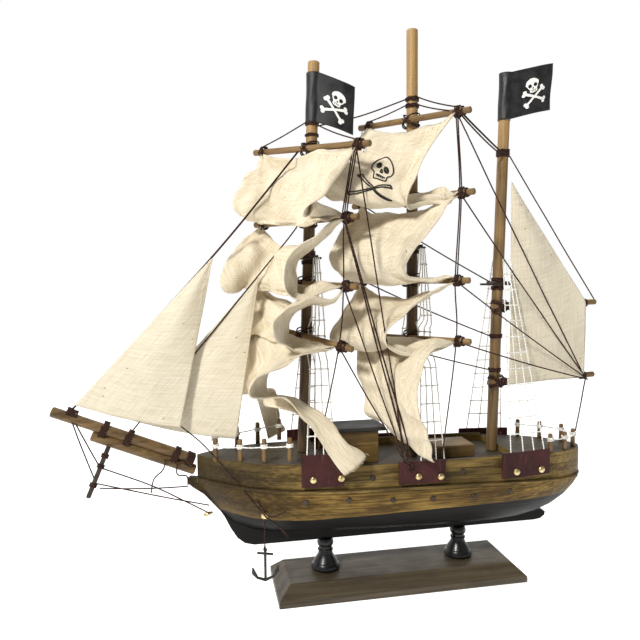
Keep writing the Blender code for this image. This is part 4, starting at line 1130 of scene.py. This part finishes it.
def post_shell(x, y, z, h, r=1.6):
    return lathe_shell([(r, -0.3), (r, h * 0.2), (r * 0.92, h * 0.55), (r * 0.98, h - 1.2), (r * 0.8, h - 0.3),
                        (r * 0.3, h), (0.02, h)], (x, y, z), (0.0, 0.0, 1.0), 14)


def build_rails():
    def deck(x, bx, bz):
        return lerp(bz[0], bz[1], (x - bx[0]) / (bx[1] - bx[0])) + 0.3
    rows = (("fore_rail", FORE_POSTS, (-138.0, -74.0), (95.0, 98.2), 15.0, 10.0),
            ("stern_rail", STERN_POSTS, (77.5, 141.5), (92.4, 88.8), 13.0, 9.0))
    for name, posts, bx, bz, h, ch in rows:
        near, far, lines, wound = [], [], [], []
        tops = {}
        for side in (-1, 1):
            for k, (x, y) in enumerate(posts):
                z = deck(x, bx, bz)
                (near if side < 0 else far).append(post_shell(x, side * y, z, h))
                wound.append(coil((x, side * y, z + ch), (0.0, 0.0, 1.0), 2.05, 2.2, 2.4, seed=k + side))
                tops[side, k] = vec(x, side * y, z + ch)
        order = [(-1, k) for k in range(len(posts))] + [(1, k) for k in reversed(range(len(posts)))]
        for a, b in zip(order, order[1:]):
            p, q = tops[a], tops[b]
            away = unit(np.cross(q - p, vec(0.0, 0.0, 1.0))) * 1.9
            if away[1] * (p + q)[1] < 0:
                away = -away
            lines.append(run(p + away, q + away, sag=0.5, n=10, shake=0.2, seed=a[1]))
        ob = shells(name + "_posts", near, "post")
        shells(name + "_posts_far", far, "post")
        curves(name + "_cord", lines, 0.42, "white")
        curves(name + "_turns", wound, 0.42, "white")
        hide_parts(name)


# --------------------------------------------------------------------- threads
def yard_wrap(which, i, e, turns, length, r=0.45, swell=0.6, seed=0.0):
    t = math.radians(YARDS[which][i][3])
    axis = YARD_DIR * math.cos(t) + vec(0.0, 0.0, math.sin(t))
    return coil(yard_point(which, i, e), axis, YARD_R + swell + r, length, turns, seed)


def mast_wrap(which, z, turns, length, r=0.45, seed=0.0):
    return coil(on_mast(which, z), (0.03, 0.0, 1.0), MAST_R + r + 0.05, length, turns, seed)


def crossing(which, i):
    """Diagonal turns that bind a yard to its mast."""
    z = YARDS[which][i][0]
    m = vec(mast_x(which, z), 0.0, z)
    out = []
    for sgn in (1.0, -1.0):
        for k in range(2):
            off = (k - 0.5) * 1.5
            lift = 3.2 + k * 0.9
            ring = []
            for a in np.linspace(0.0, 2 * math.pi, 26):
                # round the back of the mast at one height, round the front of the yard at the other
                f = math.cos(a)
                s = math.sin(a)
                front = YARD_FWD * (f * (MAST_R + YARD_R + 1.2) if f > 0 else f * (MAST_R + 0.7))
                p = m + front * (1.0 if f < 0 else 1.25) + YARD_DIR * (s * (MAST_R + 0.9) + off * 0.6)
                p = p + vec(0.0, 0.0, sgn * s * lift + off)
                ring.append(p)
            out.append(ring)
    return out


def loose_end(p, seed, long=5.0):
    """A short frayed tail of thread."""
    p = np.array(p, float)
    d = unit(vec(wobble((seed, 1, 2), 1.3), wobble((seed, 5, 2), 1.3) - 0.4,
                 -0.6 - abs(wobble((seed, 9, 2), 1.3))))
    return [p, p + d * long * 0.5 + vec(0.4, 0.0, 0.2), p + d * long]


def build_ties():
    ties, mast, tails = [], [], []
    seed = 0.0
    for which in ("fore", "main"):
        for i in range(4):
            for port in (True, False):
                _, pe, se, _ = YARDS[which][i]
                e = pe - TIE_INSET if port else -(se - TIE_INSET)
                seed += 1.7
                ties.append(yard_wrap(which, i, e, 3.2, 3.6, 0.5, 1.0, seed))
                tails.append(loose_end(yard_point(which, i, e, 3.4), seed, 4.5))
                if port:
                    ties.append(yard_wrap(which, i, e + 3.6, 1.6, 1.6, 0.5, 0.2, seed))
            mast.extend(crossing(which, i))
    curves("yard_ties", ties, 0.5, "cord", sides=1)
    curves("yard_slings", mast, 0.5, "cord", sides=1)
    curves("tie_tails", tails, 0.4, "cord", sides=1)
    rings = [coil(yard_point(which, 0, e) - vec(0.0, 0.0, YARD_R + 1.5), YARD_FWD, 1.6, 0.3, 1.05)
             for which, e in (("fore", 47.6), ("main", -36.2))]
    curves("eye_rings", rings, 0.38, "steel")
    wraps = []
    for which, z, turns, length in (("main", 336.0, 2.6, 2.8), ("main", 331.5, 2.6, 2.4),
                                    ("main", 321.0, 1.6, 1.6),
                                    ("fore", 317.2, 2.6, 2.6), ("fore", 309.5, 1.6, 1.6),
                                    ("fore", 303.0, 1.6, 1.6),
                                    ("mizzen", 301.5, 4.6, 5.0), ("mizzen", 210.0, 2.4, 2.6),
                                    ("mizzen", 171.8, 2.4, 2.4), ("mizzen", 147.3, 2.4, 2.4)):
        wraps.append(mast_wrap(which, z, turns, length, seed=z))
    curves("mast_wraps", wraps, 0.5, "cord", sides=1)
    spar = []
    for x, z in ((81.5, 193.6), (141.0, 194.8)):
        spar.append(coil((x, GAFF_Y, z), (1.0, 0.0, 0.02), 2.6, 3.4, 3.2, seed=x))
    for x, z in ((79.0, 139.4), (141.0, 141.6)):
        spar.append(coil((x, GAFF_Y, z), (1.0, 0.0, 0.03), 2.6, 3.6, 3.2, seed=x))
    for z, n in ((193.4, 3.2), (139.3, 3.2)):
        x = mast_x("mizzen", z)
        c = vec(x, GAFF_Y * 0.5, z)
        spar.append(coil(c, (0.55, 0.0, 0.83), 5.4, 3.4, n, seed=z, squeeze=1.15))
        spar.append(coil(c, (-0.55, 0.0, 0.83), 5.4, 3.0, n - 1.0, seed=z + 1.0, squeeze=1.15))
    curves("spar_lashings", spar, 0.5, "cord", sides=1)
    head = []
    for p, n, r, length in (((-142.7, 0.0, 95.5), 5.0, 4.6, 5.2), ((-214.7, 0.0, 129.4), 5.0, 2.7, 5.0),
                            ((-217.6, 0.0, 130.8), 3.0, 2.9, 2.6)):
        head.append(coil(p, (-0.88, 0.0, 0.42), r, length, n, seed=p[0]))
    for x, z in ((-196.6, 117.6), (-181.6, 111.2), (-152.0, 98.2)):
        head.append(coil((x, 0.0, z), (-0.88, 0.0, 0.42), 3.6, 4.2, 4.6, seed=x, squeeze=1.75))
    for p, r in (((-195.8, -4.6, 102.4), 2.0), ((-198.6, -4.6, 95.8), 2.0), ((-203.6, -4.6, 83.8), 2.0)):
        head.append(coil(p, (-0.385, 0.0, -0.923), r, 2.4, 3.0, seed=p[2]))
    curves("bowsprit_lashings", head, 0.5, "cord", sides=1)


def leaning(*which):
    """Lays a taut thread over the port side of the named sails: it is drawn
    straight between the places where the canvas holds it out."""
    trees = []
    for key in which:
        g = GRIDS[key]
        nu, nv = g.shape[0], g.shape[1]
        trees.append(BVHTree.FromPolygons([Vector(p) for p in g.reshape(-1, 3)],
                                          [(i * nv + j, i * nv + j + 1, (i + 1) * nv + j + 1, (i + 1) * nv + j)
                                           for i in range(nu - 1) for j in range(nv - 1)]))

    def lay(path, r):
        ys = []
        for p in path:
            y = p[1]
            for tree in trees:
                hit = tree.ray_cast(Vector((p[0], -90.0, p[2])), Vector((0.0, 1.0, 0.0)))[0]
                if hit is not None:
                    y = min(y, hit.y - r - 0.7)
            ys.append(y)
        ys[0], ys[-1] = path[0][1], path[-1][1]
        hull = []
        for k, y in enumerate(ys):
            while len(hull) > 1 and ((hull[-1][1] - hull[-2][1]) * (k - hull[-2][0])
                                     >= (y - hull[-2][1]) * (hull[-1][0] - hull[-2][0])):
                hull.pop()
            hull.append((k, y))
        out = np.interp(range(len(ys)), [h[0] for h in hull], [h[1] for h in hull])
        return [vec(p[0], y, p[2]) for p, y in zip(path, out)]
    return lay


def build_lines():
    port = lambda w, i: yard_point(w, i, YARDS[w][i][1] - TIE_INSET, 2.8)
    star = lambda w, i: yard_point(w, i, -(YARDS[w][i][2] - TIE_INSET), 2.8)
    r = 0.46
    up = vec(0.0, 0.0, 2.6)
    main_top = on_mast("main", 336.0, 3.0, -3.4)
    cord("lift_fore_starboard", run(on_mast("fore", 318.0, 4.0, -1.5), star("fore", 0) + up, 0.6), r)
    cord("lift_fore_port", run(on_mast("fore", 316.0, -2.5, -3.6), port("fore", 0) + up, 0.8), r)
    cord("lift_main_port", run(on_mast("main", 337.0, -3.0, -3.2), port("main", 0) + up, 0.8), r)
    inner = yard_point("main", 0, YARDS["main"][0][1] - 14.0, 2.4) + vec(0, 0, 1)
    cord("lift_main_port_inner", run(on_mast("main", 332.0, -2.0, -3.8), inner, 0.6), r)
    cord("lift_main_starboard", run(on_mast("main", 332.0, 4.2, -1.0), star("main", 0) + up, 0.6), r)
    cord("mast_line", smooth_path([main_top, (-24.9, -3.0, 323.0), on_mast("fore", 315.0, -3.0, -3.4)], 10), r)
    a, b = port("main", 0) + vec(2.0, 0.0, 1.0), on_mast("mizzen", 301.0, 2.0, -4.2)
    cord("top_brace", run(a, b, 0.8), 0.6)
    cord("top_brace_second", run(a + vec(0.0, 0.0, -1.6), b + vec(0.0, 0.0, -2.0), 1.8, seed=4.0), 0.5)

    # falls down the port side, each with two more threads beside it
    for key, foot, beside in (
            ("main", (19.2, -37.8, 96.9), (("second", 0, 1.2, 1.4, 0.0, 2.0),
                                           ("third", 1, 1.2, 1.4, 0.0, 3.0))),
            ("fore", (-63.7, -37.4, 103.6), (("second", 0, 1.0, 1.2, 0.0, 5.0),
                                             ("third", 0, -1.4, -1.6, 0.3, 6.0)))):
        cord("fall_" + key, smooth_path([port(key, i) for i in range(4)] + [foot], 10), r)
        for word, i, aft_top, aft_low, sag, seed in beside:
            top, low = port(key, i) + vec(aft_top, 0, 0), port(key, i + 1) + vec(aft_low, 0, 0)
            cord("fall_%s_%s" % (key, word), run(top, low, sag, seed=seed), r)

    # braces from the port yardarms
    c1, c2 = vec(-6.7, -38.4, 95.4), vec(-0.6, -38.6, 89.9)
    lean = leaning(("main", 0), ("main", 1), ("main", 2))
    cord("brace_fore_1", lean(run(port("fore", 0), c1, 1.0, 40, seed=1.0), r), r)
    cord("brace_fore_2", lean(run(port("fore", 1), c2, 1.2, 40, seed=2.0), 0.54), 0.54)
    cord("brace_fore_2_second", lean(run(port("fore", 1) + vec(0, 0, -1.5), c2 + vec(-2.4, 0, 1.0),
                                         1.8, 40, seed=3.0), 0.54), 0.54)
    cord("brace_fore_3", lean(run(port("fore", 2), c1 + vec(1.6, 0.0, -2.0), 0.8, 40, seed=4.0), r), r)
    cord("brace_fore_4", lean(run(port("fore", 3), c2 + vec(-1.2, 0.0, -1.4), 0.8, 40, seed=5.0), r), r)
    boom_end = vec(141.0, -8.6, 140.4)
    for i in range(4):
        end = boom_end + vec(0.8 * i, -0.5 * i, 1.2 - 0.9 * i)
        cord("brace_main_%d" % (i + 1), run(port("main", i), end, 1.2, seed=6.0 + i), r)
    for i, z in enumerate((210.0, 171.8, 147.3)):
        start, end = star("main", i + 1) + vec(1.5, 0, 0), on_mast("mizzen", z, 4.2, 1.2)
        cord("brace_starboard_%d" % (i + 2), run(start, end, 1.0, seed=11.0 + i), r)
    cord("gaff_span", run((149.5, -6.2, 197.6), on_mast("mizzen", 299.5, -3.6, -3.0), 0.6, seed=20.0), r)
    cord("boom_sheet", run((143.0, -7.4, 138.8), (135.2, -8.0, 100.5), 0.4, seed=21.0), r)

    # stays
    ob = cord("outer_stay", smooth_path([(-216.9, -0.6, 130.9), (-124.8, 0.6, 229.8),
                                         on_mast("fore", 304.5, 4.4, 0.0)], 14), 0.64)
    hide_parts("outer_forestay")
    cord("inner_stay", smooth_path([(-180.6, -0.6, 114.6), (-94.9, 1.6, 217.1), (-71.6, -1.0, 245.6),
                                    on_mast("fore", 257.4, 4.4, -1.2)], 12), r)
    cord("striker_tip", run((-214.7, -2.6, 127.0), (-199.8, -3.0, 95.5), 0.3, seed=30.0), r)
    cord("striker_tip_low", run((-215.6, -2.6, 126.0), (-202.7, -3.0, 86.4), 0.6, seed=31.0), r)
    cord("striker_back", smooth_path([(-198.6, -3.0, 94.2), (-168.6, -3.0, 80.8), (-148.4, -2.6, 69.2),
                                      (-130.4, -2.0, 58.2)], 10), r)
    cord("striker_back_low", smooth_path([(-202.6, -3.0, 84.4), (-161.2, -3.0, 72.4),
                                          (-130.8, -3.2, 64.3)], 10), r)
    cord("striker_back_mid", run((-200.0, -3.0, 81.0), (-144.3, -5.5, 79.0), 0.9, seed=34.0), r)
    cord("bowsprit_loose", smooth_path([(-157.9, -4.6, 98.0), (-160.0, -5.4, 91.0), (-165.7, -6.0, 85.5),
                                        (-167.8, -6.0, 76.4)], 8), r)
    cord("bowsprit_loose_aft", smooth_path([(-150.6, -4.8, 95.6), (-150.9, -5.8, 87.6), (-144.9, -6.2, 86.0),
                                            (-144.2, -6.2, 80.0)], 8), r)
    cord("jib_sheet_outer", smooth_path([(-147.6, -7.8, 119.6), (-130.4, -14.0, 104.4), (-99.0, -25.4, 66.6),
                                         (-95.0, -26.8, 62.0), (-88.0, -28.4, 57.0), (-81.5, -29.6, 48.8)], 10),
         r)
    cord("jib_sheet_inner", smooth_path([(-112.3, -5.0, 110.0), (-102.5, -22.0, 77.9), (-96.4, -26.6, 65.7),
                                         (-91.0, -28.0, 62.5), (-82.8, -30.6, 66.5)], 10),
         r)
    wavy = [vec(141.2 + 0.5 * math.sin(k * 0.9), GAFF_Y - 0.3 + 0.3 * math.sin(k * 1.3),
                lerp(192.0, 145.2, k / 26.0)) for k in range(27)]
    cord("peak_cord", smooth_path(wavy, 3), 0.75, "black_cord")


def build_anchor_cord():
    lo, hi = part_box("anchor_tack")
    x, z = (lo.x + hi.x) * 500.0, (lo.z + hi.z) * 500.0
    b0, b1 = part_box("anchor_cord")
    yc = (b0.y + b1.y) * 500.0
    _, a1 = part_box("anchor")
    top = a1.z * 1000.0
    pts = [vec(x + 1.2 * math.sin(a), yc, z + 1.2 * math.cos(a)) for a in
           [math.radians(t) for t in range(-160, 161, 32)]]
    pts += [vec(x + 0.2, yc, z - 3.2), vec(x, yc, z - 8.0), vec(x - 0.15, yc, z - 15.0),
            vec(x, yc, top + 0.7)]
    pts += [vec(x + 0.9, yc - 0.5, top - 1.0), vec(x + 0.3, yc - 1.1, top - 2.0),
            vec(x - 0.9, yc - 0.5, top - 1.0), vec(x - 0.2, yc, top + 1.2)]
    ob = cord("anchor_thread", smooth_path(pts, 4), 0.4, "cord", "anchor_cord")
    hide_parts("anchor_cord")


def rod(a, b, r, n=10):
    a, b = np.array(a, float), np.array(b, float)
    h = float(np.linalg.norm(b - a))
    return lathe_shell([(r * 0.75, 0.0), (r, 0.25), (r, h - 0.25), (r * 0.75, h)], a, b - a, n)


def build_tops():
    """Small dark crosstrees under the heads of the shrouds, bound with thread."""
    bars, turns = [], []
    for which, z, x0, x1, y in (("fore", 228.0, -5.0, 8.0, 5.0), ("main", 235.0, -5.0, 8.0, 5.0),
                                ("mizzen", 209.0, -11.0, 9.5, 5.2)):
        mx = mast_x(which, z)
        for side in (-1, 1):
            bars.append(rod((mx + x0, side * y, z), (mx + x1, side * y, z), 0.8))
        for dx in (-4.9, 4.9):
            bars.append(rod((mx + dx, -y - 2.0, z + 1.4), (mx + dx, y + 2.0, z + 1.4), 0.75))
        turns.append(mast_wrap(which, z + 3.4, 2.6, 2.4, seed=z))
        turns.append(mast_wrap(which, z - 2.6, 2.6, 2.4, seed=z + 1.0))
    shells("crosstrees", bars, "dark_wood")
    curves("crosstree_turns", turns, 0.5, "cord", sides=1)


def mark_strokes():
    """The lines of a drawn skull, in millimetres, y up."""
    out = []
    arc = lambda cx, cy, rx, ry, a0, a1, n=20: [(cx + rx * math.cos(math.radians(lerp(a0, a1, k / n))),
                                                 cy + ry * math.sin(math.radians(lerp(a0, a1, k / n))))
                                                for k in range(n + 1)]
    out.append(arc(0.0, 3.0, 7.6, 6.4, -35.0, 215.0, 26))
    out.append([(-6.2, -0.6), (-5.2, -2.0), (-5.0, -5.0), (-3.6, -6.4),
                (3.6, -6.4), (5.0, -5.0), (5.2, -2.0), (6.2, -0.6)])
    for cx in (-2.9, 2.9):
        out.append(arc(cx, 1.6, 1.7, 1.5, 0.0, 360.0, 14))
        out.append(arc(cx, 1.6, 0.8, 0.7, 0.0, 360.0, 10))
    out.append([(0.0, 0.2), (-0.9, -1.5), (0.9, -1.5), (0.0, 0.2)])
    out.append([(-4.0, -3.6), (-2.0, -4.0), (0.0, -4.1), (2.0, -4.0), (4.0, -3.6)])
    for x in (-2.4, -0.8, 0.8, 2.4):
        out.append([(x, -3.3), (x, -5.0)])
    return out


def bone_strokes(length, angle):
    """The outline of one drawn bone, turned by angle in degrees."""
    c, s = math.cos(math.radians(angle)), math.sin(math.radians(angle))
    turn = lambda pts: [(x * c - y * s, x * s + y * c) for x, y in pts]
    h = length / 2
    edge = [(-h, -1.3), (-h * 0.3, -1.0), (h * 0.3, -1.0), (h, -1.5)]
    lobe = lambda sg: [(sg * h, -1.4), (sg * (h + 1.5), -1.9), (sg * (h + 2.2), -0.8), (sg * (h + 1.3), 0.0),
                       (sg * (h + 2.2), 0.8), (sg * (h + 1.5), 1.9), (sg * h, 1.4)]
    return [turn(edge), turn([(x, -y) for x, y in edge]), turn(lobe(1)), turn(lobe(-1))]


# Middles of the skull and of the bones as fractions across and down the sail.
MARK_SKULL, MARK_BONES = (0.42, 0.40), (0.48, 0.57)


def build_mark():
    g = GRIDS["main", 0]
    at = surface(g)
    nu, nv = g.shape[0] - 1, g.shape[1] - 1
    wide = float(np.linalg.norm(np.diff(g, axis=0), axis=2).sum(axis=0).mean())
    tall = float(np.linalg.norm(np.diff(g, axis=1), axis=2).sum(axis=1).mean())
    n = normals(g)[nu // 2, nv // 3]
    face = 1.0 if float(np.dot(n, YARD_FWD)) > 0 else -1.0
    lines = []
    bones = bone_strokes(38.0, 30.0) + bone_strokes(36.0, -50.0)
    for (u, v), (sx, sy), strokes in ((MARK_SKULL, (1.55, 1.2), mark_strokes()),
                                      (MARK_BONES, (1.0, 1.0), bones)):
        for stroke in strokes:
            pts = smooth_path([(x, y, 0.0) for x, y in stroke], 4)
            lines.append([at(u * nu - x * sx / wide * nu, v * nv - y * sy / tall * nv, face * 0.42)
                          for x, y, _ in pts])
    curves("sail_mark", lines, 0.44, "ink", sides=1)


# ------------------------------------------------------------------- the studio
def build_studio():
    me = bpy.data.meshes.new("floor")
    s = 3.0
    me.from_pydata([(-s, -s, 0.0), (s, -s, 0.0), (s, s, 0.0), (-s, s, 0.0)], [], [(0, 1, 2, 3)])
    floor = bpy.data.objects.new("floor", me)
    m, t, b = new_mat("floor_glow", 0.9, spec=0.1)
    b.inputs["Base Color"].default_value = (0.93, 0.93, 0.93, 1.0)
    b.inputs["Emission Color"].default_value = (1.0, 1.0, 1.0, 1.0)
    # painted light: the floor glows, brightest behind the ship and faint in front of it, and so lights the ship
    # from below
    y = nd(t, "SeparateXYZ", {"Vector": nd(t, "TexCoord").outputs["Object"]}).outputs[1]
    t.links.new(nd(t, "MapRange", {"Value": y, "From Min": -0.35, "From Max": 0.0,
                                   "To Min": 0.04, "To Max": 0.55}).outputs[0], b.inputs["Emission Strength"])
    me.materials.append(m)
    bpy.context.scene.collection.objects.link(floor)
    world = bpy.data.worlds.new("studio")
    bpy.context.scene.world = world
    world.use_nodes = True
    t = world.node_tree
    bg = t.nodes["Background"]
    y = nd(t, "SeparateXYZ", {"Vector": nd(t, "TexCoord").outputs["Generated"]}).outputs[1]
    t.links.new(nd(t, "MapRange", {"Value": y, "From Min": -0.15, "From Max": 0.35,
                                   "To Min": 0.12, "To Max": 1.0}).outputs[0], bg.inputs["Strength"])
    bg.inputs["Color"].default_value = (1.0, 1.0, 1.0, 1.0)
    for name, at, size, power, tint in (("key", (-0.85, -0.85, 1.05), 0.24, 23.0, (1.0, 0.985, 0.95)),
                                        ("fill", (0.9, -0.9, 0.5), 0.9, 1.0, (0.97, 0.985, 1.0)),
                                        ("top", (0.1, 0.2, 1.4), 0.8, 4.0, (1.0, 1.0, 1.0))):
        la = bpy.data.lights.new(name, "AREA")
        la.size, la.energy, la.color = size, power, tint
        ob = bpy.data.objects.new(name, la)
        ob.location = at
        ob.rotation_euler = (Vector((0.0, 0.0, 0.18)) - Vector(at)).to_track_quat("-Z", "Y").to_euler()
        bpy.context.scene.collection.objects.link(ob)


bpy.context.scene.view_settings.view_transform = "Standard"
dress_nodes()
build_square_sails()
build_jibs()
build_spanker()
build_flags()
build_fittings()
build_shrouds()
build_rails()
build_ties()
build_lines()
build_anchor_cord()
build_tops()
build_mark()
build_studio()
make_camera()
